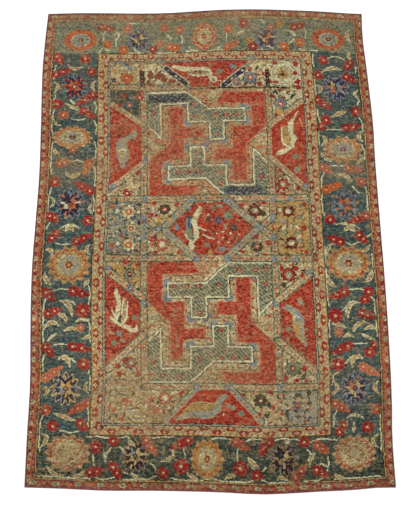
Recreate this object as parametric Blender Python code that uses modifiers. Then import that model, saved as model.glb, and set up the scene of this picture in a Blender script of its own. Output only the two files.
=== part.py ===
"""A hand-knotted wool carpet, lying flat.

The knotted body is one worn slab of pile on its woven foundation. An overcast cord is sewn down each
side, and each end is bound over with the same wool. The carpet was never quite square: its sides bow
outwards and waver, so the outline is worked out from four corners and a table of offsets for each edge.

Metres, +Z up. The near end is towards -Y and the far end towards +Y.
"""

import bisect

import bpy

# The straight-sided carpet that the real outline wavers about
NEAR_WIDTH = 2.070
FAR_WIDTH = 2.043
LENGTH = 2.994
FAR_SHIFT = -0.0275  # the far end's middle lies this far to the left of the near end's

PILE_THICKNESS = 0.0062
BINDING_WIDTH = 0.0085
BINDING_HEIGHT = 0.0072
GAP = 0.0003  # between a binding and the body that it is sewn to

SIDE_STEPS = 28  # stretches down each side, shared by the body and the side cords
END_STEPS = 20  # stretches along each end, shared by the body and the end bindings
EDGE_ROUNDING = 0.0016
ROUNDING_STEPS = 2

# How far each edge stands outside its straight line. A row is (place, offset_mm), and place runs from 0
# to 1: up the sides from the near corner, and along the ends from left to right.
LEFT_OFFSETS = [
    (0.00, 0), (0.10, 0), (0.19, -3), (0.28, 9), (0.36, 18), (0.43, 21), (0.53, 13),
    (0.62, 6), (0.70, 9), (0.80, 16), (0.87, 19), (0.94, 11), (1.00, 0),
]
RIGHT_OFFSETS = [
    (0.00, 0), (0.05, -2), (0.10, 0), (0.16, 12), (0.28, 21), (0.40, 23), (0.53, 20),
    (0.66, 18), (0.73, 22), (0.80, 15), (0.87, 6), (0.94, -5), (1.00, 0),
]
NEAR_OFFSETS = [
    (0.00, 0), (0.10, 6), (0.22, 17), (0.33, 17), (0.47, 22), (0.56, 29), (0.635, 37),
    (0.72, 31), (0.80, 21), (0.88, 14), (0.955, 0), (1.00, 0),
]
FAR_OFFSETS = [
    (0.00, 0), (0.10, 6), (0.20, 5), (0.30, 3), (0.39, 7), (0.48, 21), (0.57, 32),
    (0.68, 34), (0.78, 27), (0.87, 18), (0.95, 5), (1.00, 0),
]

# Finish of each piece: base colour and roughness
PILE_FINISH = ((0.40, 0.20, 0.13), 0.92)
CORD_FINISH = ((0.16, 0.045, 0.035), 0.85)
FAR_END_FINISH = ((0.10, 0.04, 0.035), 0.85)


def smooth_offset(table, place):
    """The table's offset at a place, in metres, eased from row to row without a kink."""
    places = [row[0] for row in table]
    place = min(max(place, 0.0), 1.0)
    upper = min(max(bisect.bisect_right(places, place), 1), len(table) - 1)
    (place_a, offset_a), (place_b, offset_b) = table[upper - 1], table[upper]
    before = table[max(upper - 2, 0)]
    after = table[min(upper + 1, len(table) - 1)]
    span = place_b - place_a
    slope_a = (offset_b - before[1]) / (place_b - before[0])
    slope_b = (after[1] - offset_a) / (after[0] - place_a)
    share = (place - place_a) / span
    squared, cubed = share**2, share**3
    millimetres = (
        (2 * cubed - 3 * squared + 1) * offset_a
        + (cubed - 2 * squared + share) * span * slope_a
        + (3 * squared - 2 * cubed) * offset_b
        + (cubed - squared) * span * slope_b
    )
    return millimetres / 1000.0


def straight_line(near_value, far_value, share):
    return near_value + (far_value - near_value) * share


class Outline:
    """The carpet's outer edge in plan, with its box centred on the origin."""

    def __init__(self):
        self.near_y, self.far_y = -LENGTH / 2, LENGTH / 2
        self.near_left = -NEAR_WIDTH / 2 - FAR_SHIFT / 2
        self.near_right = NEAR_WIDTH / 2 - FAR_SHIFT / 2
        self.far_left = -FAR_WIDTH / 2 + FAR_SHIFT / 2
        self.far_right = FAR_WIDTH / 2 + FAR_SHIFT / 2
        places = [step / 400 for step in range(401)]
        lefts = [self.left_x(straight_line(self.near_y, self.far_y, p)) for p in places]
        rights = [self.right_x(straight_line(self.near_y, self.far_y, p)) for p in places]
        nears = [self.near_edge_y(straight_line(self.near_left, self.near_right, p)) for p in places]
        fars = [self.far_edge_y(straight_line(self.far_left, self.far_right, p)) for p in places]
        middle_x = (min(lefts) + max(rights)) / 2
        middle_y = (min(nears) + max(fars)) / 2
        self.near_y -= middle_y
        self.far_y -= middle_y
        self.near_left -= middle_x
        self.near_right -= middle_x
        self.far_left -= middle_x
        self.far_right -= middle_x

    def left_x(self, y):
        share = (y - self.near_y) / LENGTH
        return straight_line(self.near_left, self.far_left, share) - smooth_offset(LEFT_OFFSETS, share)

    def right_x(self, y):
        share = (y - self.near_y) / LENGTH
        return straight_line(self.near_right, self.far_right, share) + smooth_offset(RIGHT_OFFSETS, share)

    def near_edge_y(self, x):
        share = (x - self.near_left) / (self.near_right - self.near_left)
        return self.near_y - smooth_offset(NEAR_OFFSETS, share)

    def far_edge_y(self, x):
        share = (x - self.far_left) / (self.far_right - self.far_left)
        return self.far_y + smooth_offset(FAR_OFFSETS, share)

    def side_stations(self, inset):
        """The heights in Y at which the sides are sampled, from the near inner corner to the far one."""
        low, high = self.near_y + inset, self.far_y - inset
        return [straight_line(low, high, step / SIDE_STEPS) for step in range(SIDE_STEPS + 1)]

    def end_stations(self, left, right, inset):
        low, high = left + inset, right - inset
        return [straight_line(low, high, step / END_STEPS) for step in range(END_STEPS + 1)]


def finish_material(name, finish):
    colour, roughness = finish
    material = bpy.data.materials.new(name)
    material.use_nodes = True
    shader = material.node_tree.nodes["Principled BSDF"]
    shader.inputs["Base Color"].default_value = (*colour, 1.0)
    shader.inputs["Roughness"].default_value = roughness
    shader.inputs["Metallic"].default_value = 0.0
    return material


def move_to(thing, collection):
    for owner in list(thing.users_collection):
        owner.objects.unlink(thing)
    collection.objects.link(thing)


def knotted_body(outline, collection):
    """A flat grid pulled out to the outline, given its thickness and soft upper edges."""
    bpy.ops.mesh.primitive_grid_add(x_subdivisions=END_STEPS, y_subdivisions=SIDE_STEPS, size=1.0)
    body = bpy.context.object
    body.name = "carpet"
    inset = BINDING_WIDTH + GAP
    rows = outline.side_stations(inset)
    near_columns = outline.end_stations(outline.near_left, outline.near_right, inset)
    far_columns = outline.end_stations(outline.far_left, outline.far_right, inset)
    for vertex in body.data.vertices:
        column = round((vertex.co.x + 0.5) * END_STEPS)
        row = round((vertex.co.y + 0.5) * SIDE_STEPS)
        across, up = column / END_STEPS, row / SIDE_STEPS
        row_y = rows[row]
        left, right = outline.left_x(row_y) + inset, outline.right_x(row_y) - inset
        near_x, far_x = near_columns[column], far_columns[column]
        near_y, far_y = outline.near_edge_y(near_x) + inset, outline.far_edge_y(far_x) - inset
        column_x = straight_line(near_x, far_x, up)
        straight_left = straight_line(near_columns[0], far_columns[0], up)
        straight_right = straight_line(near_columns[-1], far_columns[-1], up)
        x = column_x + (left - straight_left) * (1 - across) + (right - straight_right) * across
        y = row_y + (near_y - rows[0]) * (1 - up) + (far_y - rows[-1]) * up
        vertex.co = (x, y, 0.0)
    thickness = body.modifiers.new("thickness", "SOLIDIFY")
    thickness.thickness = PILE_THICKNESS
    thickness.offset = 1.0
    rounding = body.modifiers.new("rounding", "BEVEL")
    rounding.width = EDGE_ROUNDING
    rounding.segments = ROUNDING_STEPS
    rounding.limit_method = "ANGLE"
    rounding.angle_limit = 1.0
    rounding.use_clamp_overlap = True
    body.data.materials.append(finish_material("worn_wool_pile", PILE_FINISH))
    move_to(body, collection)
    return body


def overcast_profile(guides):
    """The section of a bound edge: flat where it lies, rounded over its top."""
    half, height = BINDING_WIDTH / 2, BINDING_HEIGHT
    shoulders = [(-1.0, 0.0), (-1.0, 0.5), (-0.7, 0.85), (0.0, 1.0), (0.7, 0.85), (1.0, 0.5), (1.0, 0.0)]
    curve = bpy.data.curves.new("overcast_section", "CURVE")
    curve.dimensions = "2D"
    spline = curve.splines.new("POLY")
    spline.points.add(len(shoulders) - 1)
    for point, (across, up) in zip(spline.points, shoulders, strict=True):
        point.co = (across * half, up * height, 0.0, 1.0)
    spline.use_cyclic_u = True
    section = bpy.data.objects.new("overcast_section", curve)
    section.hide_render = True
    section.display_type = "WIRE"
    guides.objects.link(section)
    return section


def bound_edge(name, route, section, finish, collection):
    """One overcast edge, swept along its route in plan."""
    curve = bpy.data.curves.new(name, "CURVE")
    curve.dimensions = "2D"
    curve.fill_mode = "NONE"
    curve.bevel_mode = "OBJECT"
    curve.bevel_object = section
    curve.use_fill_caps = True
    spline = curve.splines.new("POLY")
    spline.points.add(len(route) - 1)
    for point, (x, y) in zip(spline.points, route, strict=True):
        point.co = (x, y, 0.0, 1.0)
    edge = bpy.data.objects.new(name, curve)
    edge.data.materials.append(finish)
    collection.objects.link(edge)
    return edge


def side_route(outline, edge_x, inward):
    """A side cord runs from the near corner to the far one, a half width inside the outer edge."""
    half = BINDING_WIDTH / 2
    heights = [outline.near_y, *outline.side_stations(BINDING_WIDTH + GAP), outline.far_y]
    return [(edge_x(y) + inward * half, y) for y in heights]


def end_route(outline, left, right, edge_y, inward):
    """An end binding fills the space between the two side cords."""
    columns = outline.end_stations(left, right, BINDING_WIDTH + GAP)
    return [(x, edge_y(x) + inward * BINDING_WIDTH / 2) for x in columns]


def main():
    for leftover in list(bpy.data.objects):
        bpy.data.objects.remove(leftover)
    carpet = bpy.data.collections.new("carpet")
    guides = bpy.data.collections.new("guides")
    for collection in (carpet, guides):
        bpy.context.scene.collection.children.link(collection)

    outline = Outline()
    knotted_body(outline, carpet)

    section = overcast_profile(guides)
    cord_wool = finish_material("overcast_cord_wool", CORD_FINISH)
    dark_wool = finish_material("dark_end_wool", FAR_END_FINISH)
    bound_edge("side_cord_left", side_route(outline, outline.left_x, 1), section, cord_wool, carpet)
    bound_edge("side_cord_right", side_route(outline, outline.right_x, -1), section, cord_wool, carpet)
    near = end_route(outline, outline.near_left, outline.near_right, outline.near_edge_y, 1)
    far = end_route(outline, outline.far_left, outline.far_right, outline.far_edge_y, -1)
    bound_edge("end_binding_near", near, section, cord_wool, carpet)
    bound_edge("end_binding_far", far, section, dark_wool, carpet)


main()
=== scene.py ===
"""The looks of a hand-knotted wool carpet, lying flat and seen from above its near end.

The pattern is charted in centimetres on the flat carpet, measured from its near left corner, and every
knot takes one wool. The chart is then worn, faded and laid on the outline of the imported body.
"""

import math

import bpy
import numpy as np
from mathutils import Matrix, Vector


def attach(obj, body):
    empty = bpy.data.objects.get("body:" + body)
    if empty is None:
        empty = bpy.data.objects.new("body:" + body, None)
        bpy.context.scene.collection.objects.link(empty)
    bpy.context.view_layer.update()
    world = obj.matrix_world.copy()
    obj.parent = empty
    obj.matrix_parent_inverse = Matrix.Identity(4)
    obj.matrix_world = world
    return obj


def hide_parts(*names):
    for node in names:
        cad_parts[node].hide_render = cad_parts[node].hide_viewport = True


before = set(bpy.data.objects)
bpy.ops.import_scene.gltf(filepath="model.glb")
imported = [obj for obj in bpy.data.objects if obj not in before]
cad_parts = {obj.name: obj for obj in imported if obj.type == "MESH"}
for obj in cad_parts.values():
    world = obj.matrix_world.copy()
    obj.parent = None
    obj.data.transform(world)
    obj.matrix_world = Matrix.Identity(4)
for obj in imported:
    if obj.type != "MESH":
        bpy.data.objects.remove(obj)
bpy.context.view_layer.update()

# The chart: the whole carpet over its bindings, in centimetres, and the knots inside them
WIDTH, LENGTH = 206.0, 300.0
EDGE = 0.87
COLUMNS, ROWS = 488, 708

# Dyed wools as they look today, in display red, green and blue
WOOLS = {
    "red": (164, 38, 22),
    "crimson": (112, 20, 18),
    "cherry": (164, 28, 32),
    "rose": (178, 76, 54),
    "salmon": (190, 108, 74),
    "orange": (192, 90, 34),
    "gold": (188, 142, 70),
    "buff": (186, 162, 114),
    "tan": (154, 124, 84),
    "olive": (126, 116, 62),
    "ivory": (212, 206, 162),
    "teal": (42, 68, 74),
    "sea": (74, 98, 96),
    "sage": (116, 128, 100),
    "moss": (50, 64, 46),
    "sky": (120, 132, 138),
    "navy": (18, 26, 56),
    "violet": (100, 82, 108),
    "umber": (34, 20, 18),
    "brick": (128, 60, 42),
    "ash": (148, 146, 116),
}
WOOL_NAMES = list(WOOLS)

# Grounds that were spun or have worn unevenly: the share of each wool, from the darkest grain up
GROUNDS = {
    "red_ground": (("crimson", 0.18), ("red", 0.50), ("rose", 0.22), ("salmon", 0.10)),
    "worn_red": (("red", 0.34), ("rose", 0.38), ("salmon", 0.28)),
    "rose_red": (("crimson", 0.06), ("red", 0.44), ("rose", 0.32), ("salmon", 0.18)),
    "bloom_red": (("crimson", 0.24), ("cherry", 0.62), ("rose", 0.14)),
    "bloom_rose": (("brick", 0.20), ("rose", 0.50), ("salmon", 0.30)),
    "teal_ground": (("moss", 0.20), ("teal", 0.46), ("sea", 0.26), ("sage", 0.08)),
    "sage_ground": (("moss", 0.12), ("sea", 0.26), ("sage", 0.34), ("olive", 0.12), ("ash", 0.16)),
    "dark_ground": (("umber", 0.12), ("moss", 0.34), ("teal", 0.28), ("sea", 0.12), ("olive", 0.14)),
    "strap_ground": (("sea", 0.10), ("sage", 0.28), ("ash", 0.40), ("buff", 0.22)),
    "strap_dark": (("navy", 0.14), ("teal", 0.46), ("sea", 0.24), ("ash", 0.16)),
    "pale_teal": (("teal", 0.12), ("sea", 0.26), ("sky", 0.14), ("ash", 0.30), ("buff", 0.18)),
    "pink_ground": (("brick", 0.10), ("salmon", 0.26), ("tan", 0.26), ("buff", 0.38)),
    "tan_ground": (("brick", 0.10), ("tan", 0.40), ("buff", 0.42), ("ivory", 0.08)),
    "buff_ground": (("tan", 0.26), ("buff", 0.58), ("ivory", 0.16)),
    "gold_ground": (("olive", 0.12), ("tan", 0.20), ("gold", 0.50), ("buff", 0.18)),
    "sky_ground": (("teal", 0.10), ("sky", 0.66), ("ash", 0.24)),
    "ash_ground": (("sky", 0.26), ("ash", 0.44), ("buff", 0.30)),
    "ivory_ground": (("tan", 0.12), ("buff", 0.30), ("ivory", 0.58)),
    "leaf_ivory": (("sage", 0.16), ("buff", 0.26), ("ivory", 0.58)),
    "guard_ground": (("crimson", 0.12), ("violet", 0.10), ("brick", 0.36), ("rose", 0.20), ("tan", 0.22)),
    "bird_ivory": (("buff", 0.22), ("ivory", 0.78)),
}


def cloud(shape, cell_x, cell_y, seed):
    """Smooth random values from 0 to 1, with soft spots about one cell across, in knots."""
    rows, columns = shape
    dice = np.random.default_rng(seed)
    grid = dice.random((int(rows / cell_y) + 3, int(columns / cell_x) + 3))
    down, along = np.arange(rows) / cell_y, np.arange(columns) / cell_x
    row, column = down.astype(int), along.astype(int)
    share_y, share_x = (down - row)[:, None], (along - column)[None, :]
    share_y, share_x = (s * s * (3 - 2 * s) for s in (share_y, share_x))
    low = grid[row][:, column] * (1 - share_x) + grid[row][:, column + 1] * share_x
    high = grid[row + 1][:, column] * (1 - share_x) + grid[row + 1][:, column + 1] * share_x
    return low * (1 - share_y) + high * share_y


def ranked(values):
    """The same field with its values spread evenly from 0 to 1."""
    order = values.ravel().argsort().argsort()
    return (order / (order.size - 1)).reshape(values.shape)


WOBBLE = 0.6  # how far, in centimetres, a line may stray from its true place, from end to end


class Chart:
    """The wool of every knot, drawn in centimetres."""

    def __init__(self):
        self.columns = EDGE + (np.arange(COLUMNS) + 0.5) * (WIDTH - 2 * EDGE) / COLUMNS
        self.rows = EDGE + (np.arange(ROWS) + 0.5) * (LENGTH - 2 * EDGE) / ROWS
        shape = (ROWS, COLUMNS)
        self.x = self.columns[None, :] + WOBBLE * (cloud(shape, 4.0, 3.2, 13) - 0.5)
        self.y = self.rows[:, None] + WOBBLE * (cloud(shape, 4.0, 3.2, 14) - 0.5)
        self.wool = np.full(shape, WOOL_NAMES.index("tan"), np.uint8)
        self.within = None  # an outline that holds back all that is drawn to its inside
        dice = np.random.default_rng(11)
        self.grain = ranked(0.45 * dice.random(shape) + 0.55 * cloud(shape, 2.6, 1.6, 12))

    def window(self, low_x, high_x, low_y, high_y):
        """The knots about a box: their x, their y, and where they are in the chart."""
        first, last = np.searchsorted(self.columns, (low_x - WOBBLE, high_x + WOBBLE))
        bottom, top = np.searchsorted(self.rows, (low_y - WOBBLE, high_y + WOBBLE))
        box = (slice(bottom, top), slice(first, last))
        return self.x[box], self.y[box], box

    def paint(self, box, mask, wool):
        if self.within:
            mask = mask & self.inside(self.within, self.x[box], self.y[box])
        if wool in GROUNDS:
            names, shares = zip(*GROUNDS[wool])
            steps = np.searchsorted(np.cumsum(shares)[:-1], self.grain[box][mask])
            self.wool[box][mask] = np.array([WOOL_NAMES.index(name) for name in names])[steps]
        else:
            self.wool[box][mask] = WOOL_NAMES.index(wool)

    def rectangle(self, low_x, high_x, low_y, high_y, wool):
        x, y, box = self.window(low_x, high_x, low_y, high_y)
        self.paint(box, (x >= low_x) & (x < high_x) & (y >= low_y) & (y < high_y), wool)

    def inside(self, points, x, y):
        """Which knots lie inside the closed outline through the points."""
        inside = np.zeros(x.shape, bool)
        for (x_a, y_a), (x_b, y_b) in zip(points, points[1:] + points[:1]):
            if y_a != y_b:
                crosses = (y_a > y) != (y_b > y)
                inside ^= crosses & (x < (x_b - x_a) * (y - y_a) / (y_b - y_a) + x_a)
        return inside

    def polygon(self, points, wool):
        xs, ys = zip(*points)
        x, y, box = self.window(min(xs), max(xs), min(ys), max(ys))
        self.paint(box, self.inside(points, x, y), wool)

    def mottle(self, points, wool, share, cell, seed):
        """Patches of another wool, about a cell across in knots, over a share of an outline's inside."""
        xs, ys = zip(*points)
        x, y, box = self.window(min(xs), max(xs), min(ys), max(ys))
        patches = ranked(cloud(x.shape, cell, 0.7 * cell, seed)) < share
        self.paint(box, patches & self.inside(points, x, y), wool)

    def line(self, points, widths, wool):
        """A stroke through the points, of one width or with a width at each point."""
        if not hasattr(widths, "__len__"):
            widths = [widths] * len(points)
        for (x_a, y_a), (x_b, y_b), wide_a, wide_b in zip(points, points[1:], widths, widths[1:]):
            reach = max(wide_a, wide_b) / 2 + 0.3
            x, y, box = self.window(
                min(x_a, x_b) - reach, max(x_a, x_b) + reach, min(y_a, y_b) - reach, max(y_a, y_b) + reach
            )
            step_x, step_y = x_b - x_a, y_b - y_a
            span = max(step_x**2 + step_y**2, 1e-9)
            share = np.clip(((x - x_a) * step_x + (y - y_a) * step_y) / span, 0, 1)
            distance = np.hypot(x - x_a - share * step_x, y - y_a - share * step_y)
            self.paint(box, distance < (wide_a + (wide_b - wide_a) * share) / 2, wool)

    def lobes(self, x, y, across, up, wool, count=0, depth=0.0, turn=0.0, sharp=1.0):
        """A round or petalled spot: count petals, cut in by depth, on an ellipse turned by some degrees."""
        reach = max(across, up)
        knot_x, knot_y, box = self.window(x - reach, x + reach, y - reach, y + reach)
        cosine, sine = math.cos(math.radians(turn)), math.sin(math.radians(turn))
        a = ((knot_x - x) * cosine + (knot_y - y) * sine) / across
        b = ((knot_y - y) * cosine - (knot_x - x) * sine) / up
        edge = 1.0
        if count:
            wave = 0.5 + 0.5 * np.cos(count * np.arctan2(b, a))
            edge = 1.0 - depth * (1.0 - wave**sharp)
        self.paint(box, np.hypot(a, b) < edge, wool)


BOW_STEPS = 8
NARROW_LEAF = 1.9  # a leaf no wider than this has no vein


def bow(start, through, end):
    """Points on one soft curve from start to end that passes close to the middle point."""
    pull = [2 * m - (a + b) / 2 for a, m, b in zip(start, through, end)]
    shares = [step / BOW_STEPS for step in range(BOW_STEPS + 1)]
    return [
        tuple((1 - t) ** 2 * a + 2 * t * (1 - t) * p + t * t * b for a, p, b in zip(start, pull, end))
        for t in shares
    ]


def outline(points):
    return points + points[:1]


# Motifs: each is drawn from its largest part to its smallest, in shares of its own reach

# The wools of a flower by its dye: its petals, and the lines between them
BLOOMS = {"red": ("bloom_red", "crimson"), "rose": ("bloom_rose", "brick"), "orange": ("orange", "brick")}
ROSETTE_PETALS = 8


def polar(x, y, across, up, angle):
    """The place at an angle round an ellipse about x and y."""
    return (x + across * math.cos(angle), y + up * math.sin(angle))


def rosette(chart, x, y, radius, dye):
    """A full round flower with a pale eye."""
    wool, dark = BLOOMS.get(dye, (dye, "brick"))
    turn = 17 * x + 29 * y
    chart.lobes(x, y, 1.04 * radius, 1.0 * radius, wool, ROSETTE_PETALS, 0.14, turn=turn)
    for petal in range(ROSETTE_PETALS):
        angle = math.radians(turn + (petal + 0.5) * 360 / ROSETTE_PETALS)
        root = polar(x, y, 0.42 * radius, 0.40 * radius, angle)
        tip = polar(x, y, 0.86 * radius, 0.82 * radius, angle)
        chart.line([root, tip], 0.42, dark)
    chart.lobes(x, y, 0.26 * radius, 0.25 * radius, "salmon")
    chart.lobes(x, y, 0.16 * radius, 0.16 * radius, "ivory")


def spray(chart, x_a, y_a, x_b, y_b, dye):
    """Two flowers that overlap, the second drawn out to a point."""
    wool = BLOOMS.get(dye, (dye, "brick"))[0]
    x_m, y_m = x_a + 0.52 * (x_b - x_a), y_a + 0.52 * (y_b - y_a)
    chart.line([(x_a, y_a), (x_m, y_m), (x_b, y_b)], [4.4, 5.2, 1.8], wool)
    rosette(chart, x_m, y_m, 2.6, dye)
    rosette(chart, x_a, y_a, 3.0, dye)


def leaf(chart, start, through, end, width, wool="leaf_ivory", heart="gold_ground"):
    """A curved leaf that tapers to both ends, with a vein of another wool in a wide one."""
    path = bow(start, through, end)
    swell = [math.sin(math.pi * (0.06 + 0.88 * step / BOW_STEPS)) for step in range(BOW_STEPS + 1)]
    chart.line(path, [width * s for s in swell], wool)
    if width > NARROW_LEAF and heart:
        chart.line(path[1:-1], [0.42 * width * s for s in swell[1:-1]], heart)


def flames(chart, x, y, across, up, wools, inner=0.5, outer=1.0, width=0.2, twist=0.22, start=90.0):
    """A ring of curved pointed petals, their wools taking turns."""
    for number, wool in enumerate(wools):
        angle = math.radians(start + number * 360 / len(wools))
        path = []
        for step in range(4):
            reach = inner + (outer - inner) * step / 3
            bend = angle + twist * (step / 3) ** 2
            path.append(polar(x, y, reach * across, reach * up, bend))
        size = width * min(across, up)
        chart.line(path, [0.8 * size, 1.0 * size, 0.8 * size, 0.25 * size], wool)


def scalloped_palmette(chart, x, y, across, up, heart, core, rim, vein):
    """A wide scalloped flower: broad petals, a ring of curved dashes and a pale heart."""
    chart.lobes(x, y, 1.03 * across, 1.04 * up, "tan", 14, 0.16)
    chart.lobes(x, y, 0.97 * across, 0.97 * up, rim, 14, 0.16)
    for number in range(12):
        angle = math.radians(15 + number * 30)
        arc = []
        for step, reach in ((-0.20, 0.70), (-0.08, 0.79), (0.08, 0.80), (0.21, 0.68)):
            arc.append(polar(x, y, reach * across, reach * up, angle + step))
        chart.line(arc, [0.6, 0.9, 0.9, 0.6], vein)
    chart.lobes(x, y, 0.60 * across, 0.60 * up, "buff_ground", 12, 0.12)
    chart.lobes(x, y, 0.50 * across, 0.50 * up, heart, 10, 0.14)
    chart.lobes(x, y, 0.25 * across, 0.27 * up, "buff", 8, 0.2)
    chart.lobes(x, y, 0.19 * across, 0.21 * up, core, 6, 0.24)
    chart.lobes(x, y, 0.07 * across, 0.08 * up, "gold")


def jagged_palmette(chart, x, y, size, rim, inner, ground, heart):
    """A large flower: a pale jagged rim round a dark star, small petals and a throat of several wools."""
    chart.lobes(x, y, 1.06 * size, 0.94 * size, "teal", 13, 0.24, turn=90)
    chart.lobes(x, y, 1.00 * size, 0.88 * size, rim[0], 13, 0.28, turn=90)
    chart.lobes(x, y, 0.90 * size, 0.79 * size, ground, 13, 0.32, turn=90)
    flames(chart, x, y, size, 0.88 * size, (rim * 3)[:9], 0.60, 0.92, 0.14, 0.12)
    flames(chart, x, y, size, 0.86 * size, (inner * 3)[:7], 0.30, 0.62, 0.17, -0.16, 70.0)
    for number, wool in enumerate(inner):
        angle = math.radians(45 + number * 360 / len(inner))
        spot = polar(x, y, 0.25 * size, 0.21 * size, angle)
        chart.lobes(*spot, 0.20 * size, 0.17 * size, wool, 5, 0.3, turn=40 * number)
    chart.lobes(x, y, 0.15 * size, 0.14 * size, ground)
    chart.lobes(x, y, 0.09 * size, 0.08 * size, heart)


def ring_flower(chart, x, y, radius, petals_wool, heart_wool):
    """A small flower with a dark edge, a heart of its own wool and a pale eye."""
    chart.lobes(x, y, 1.08 * radius, 1.08 * radius, "umber", 8, 0.20)
    chart.lobes(x, y, 0.96 * radius, 0.96 * radius, petals_wool, 8, 0.24)
    chart.lobes(x, y, 0.50 * radius, 0.50 * radius, heart_wool, 6, 0.15)
    chart.lobes(x, y, 0.18 * radius, 0.18 * radius, "ivory")


NODE_REACH = 2.1


def lattice_node(chart, x, y):
    """The blue-grey square with a small ring, where two straps of the lattice cross."""
    chart.lobes(x, y, NODE_REACH, NODE_REACH, "sky_ground", 4, 0.12, turn=45)
    chart.lobes(x, y, 0.8, 0.8, "violet")
    chart.lobes(x, y, 0.42, 0.42, "ivory")


SPRIG_SIZE = 1.1


def sprigs(chart, box, wools, seed, pitch, leaves):
    """Small blossoms and curled leaves over a ground, about a pitch apart."""
    low_x, high_x, low_y, high_y = box
    dice = np.random.default_rng(seed)
    for row in range(int((high_y - low_y) / pitch)):
        for column in range(int((high_x - low_x) / pitch)):
            x = low_x + (column + 0.5 + dice.uniform(-0.3, 0.3)) * pitch
            y = low_y + (row + 0.5 + dice.uniform(-0.3, 0.3)) * pitch
            angle, bend = dice.uniform(0, 2 * math.pi), dice.uniform(0.5, 1.0)
            out = (math.cos(angle), math.sin(angle))
            tip = polar(x, y, 0.44 * pitch, 0.44 * pitch, angle)
            tail = (x - 0.40 * pitch * out[0], y - 0.40 * pitch * out[1])
            middle = (x - bend * out[1] * 0.3 * pitch, y + bend * out[0] * 0.3 * pitch)
            leaf_wool = leaves[int(dice.integers(len(leaves)))]
            leaf(chart, tip, middle, tail, 0.8 * SPRIG_SIZE, leaf_wool, None)
            wool = wools[int(dice.integers(len(wools)))]
            blossom = SPRIG_SIZE * dice.uniform(0.55, 1.0)
            chart.lobes(*tip, blossom, blossom, wool, 5, 0.3, turn=math.degrees(angle))


# The field: its lattice, medallions and compartments

FIELD = (43.2, 163.6, 37.0, 263.6)
CENTRE_HEXAGON = [
    (79.5, 152.8), (95.5, 168.8), (112.5, 168.8), (130, 152.8), (113, 136), (97, 136),
]
TOP_HALF_HEXAGON = [
    (76, 263.6), (94.5, 246), (114.5, 246), (131.5, 263.6),
]
NEAR_HALF_HEXAGON = [
    (80, 37), (97, 55), (112.5, 55), (130, 37),
]
SIDE_COMPARTMENTS = [
    [(43.2, 232.5), (61.6, 219.0), (61.6, 197.0), (43.2, 181.5)],
    [(163.6, 233.0), (143.8, 217.0), (143.8, 200.0), (163.6, 180.5)],
    [(43.2, 124.0), (63.2, 108.0), (63.2, 89.5), (43.2, 70.0)],
    [(163.6, 121.5), (144.4, 106.0), (144.4, 86.5), (163.6, 68.5)],
]

# Half of a medallion about its middle. The other half is the same, turned half round.
STRAP = [
    (-37.3, 35.4), (-12.2, 35.4), (-8, 32.3), (1.4, 23.2), (23.8, 23), (23.8, 14.6), (10.4, 14.6),
    (10.4, 2.4), (1.8, 2.4), (1.8, 14.6), (-11.5, 14.6), (-11.5, 27.4), (-28.4, 27.4), (-28.4, 4),
    (-37.3, 13.2),
]
RED_BAND = [
    (-23.4, 24.5), (-15.2, 24.5), (-15.2, 11), (-3.8, 11), (-3.8, 3.9), (-15.2, 3.9), (-15.2, -11),
    (-27.8, -11), (-27.8, -26.8), (-6, -27), (-10, -34.3), (-36.2, -34.3), (-36.2, -11.4), (-23.4, 0.4),
]
UPPER_MEDALLION = (102.9, 207.5)
LOWER_MEDALLION = (103.4, 95.5)


def about(middle, points, turn=1, mirror=1, stretch=1.0):
    """The points moved to a middle, after a half turn where turn is -1 and a mirror where mirror is -1."""
    return [(middle[0] + turn * mirror * x, middle[1] + turn * stretch * y) for x, y in points]


def flower_row(chart, start, end, pitch, wools, size=0.75):
    """Small blossoms at even steps along a band, their wools taking turns."""
    span = math.dist(start, end)
    count = max(int(span / pitch), 1)
    for number in range(count):
        share = (number + 0.5) / count
        x, y = start[0] + (end[0] - start[0]) * share, start[1] + (end[1] - start[1]) * share
        chart.lobes(x, y, size, size, wools[number % len(wools)], 4, 0.3)


def lattice_band(chart, start, end, width=4.2, ground="tan_ground", edge="sage"):
    """A strap of the lattice: its ground, a dark and a pale line down each side and a row of blossoms."""
    chart.line([start, end], width + 0.3, "umber")
    chart.line([start, end], width - 0.3, edge)
    chart.line([start, end], width - 1.3, ground)
    flower_row(chart, start, end, 2.5, ("rose", "cherry", "sky", "rose"), 0.66)


def feather(chart, points, wool, pitch=2.4, lean=1.0):
    """Slanting strokes of a darker wool over the inside of a shape."""
    xs, ys = zip(*points)
    x, y, box = chart.window(min(xs), max(xs), min(ys), max(ys))
    inside = chart.inside(points, x, y)
    strokes = ((x + lean * y) % pitch < 0.36 * pitch) & ((y - 0.4 * lean * x) % 3.2 < 2.3)
    chart.paint(box, inside & strokes, wool)


def strap_band(chart, points, spots, hatch):
    """The wide green strap with its ivory edge and the dark line beside it."""
    chart.line(outline(points), 1.9, "umber")
    chart.polygon(points, "strap_ground")
    feather(chart, points, hatch)
    for x, y in spots:
        chart.lobes(x, y, 1.7, 1.5, "bloom_red", 5, 0.3)
        chart.lobes(x, y, 0.5, 0.5, "buff")
    chart.line(outline(points), 1.05, "ivory")


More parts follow.
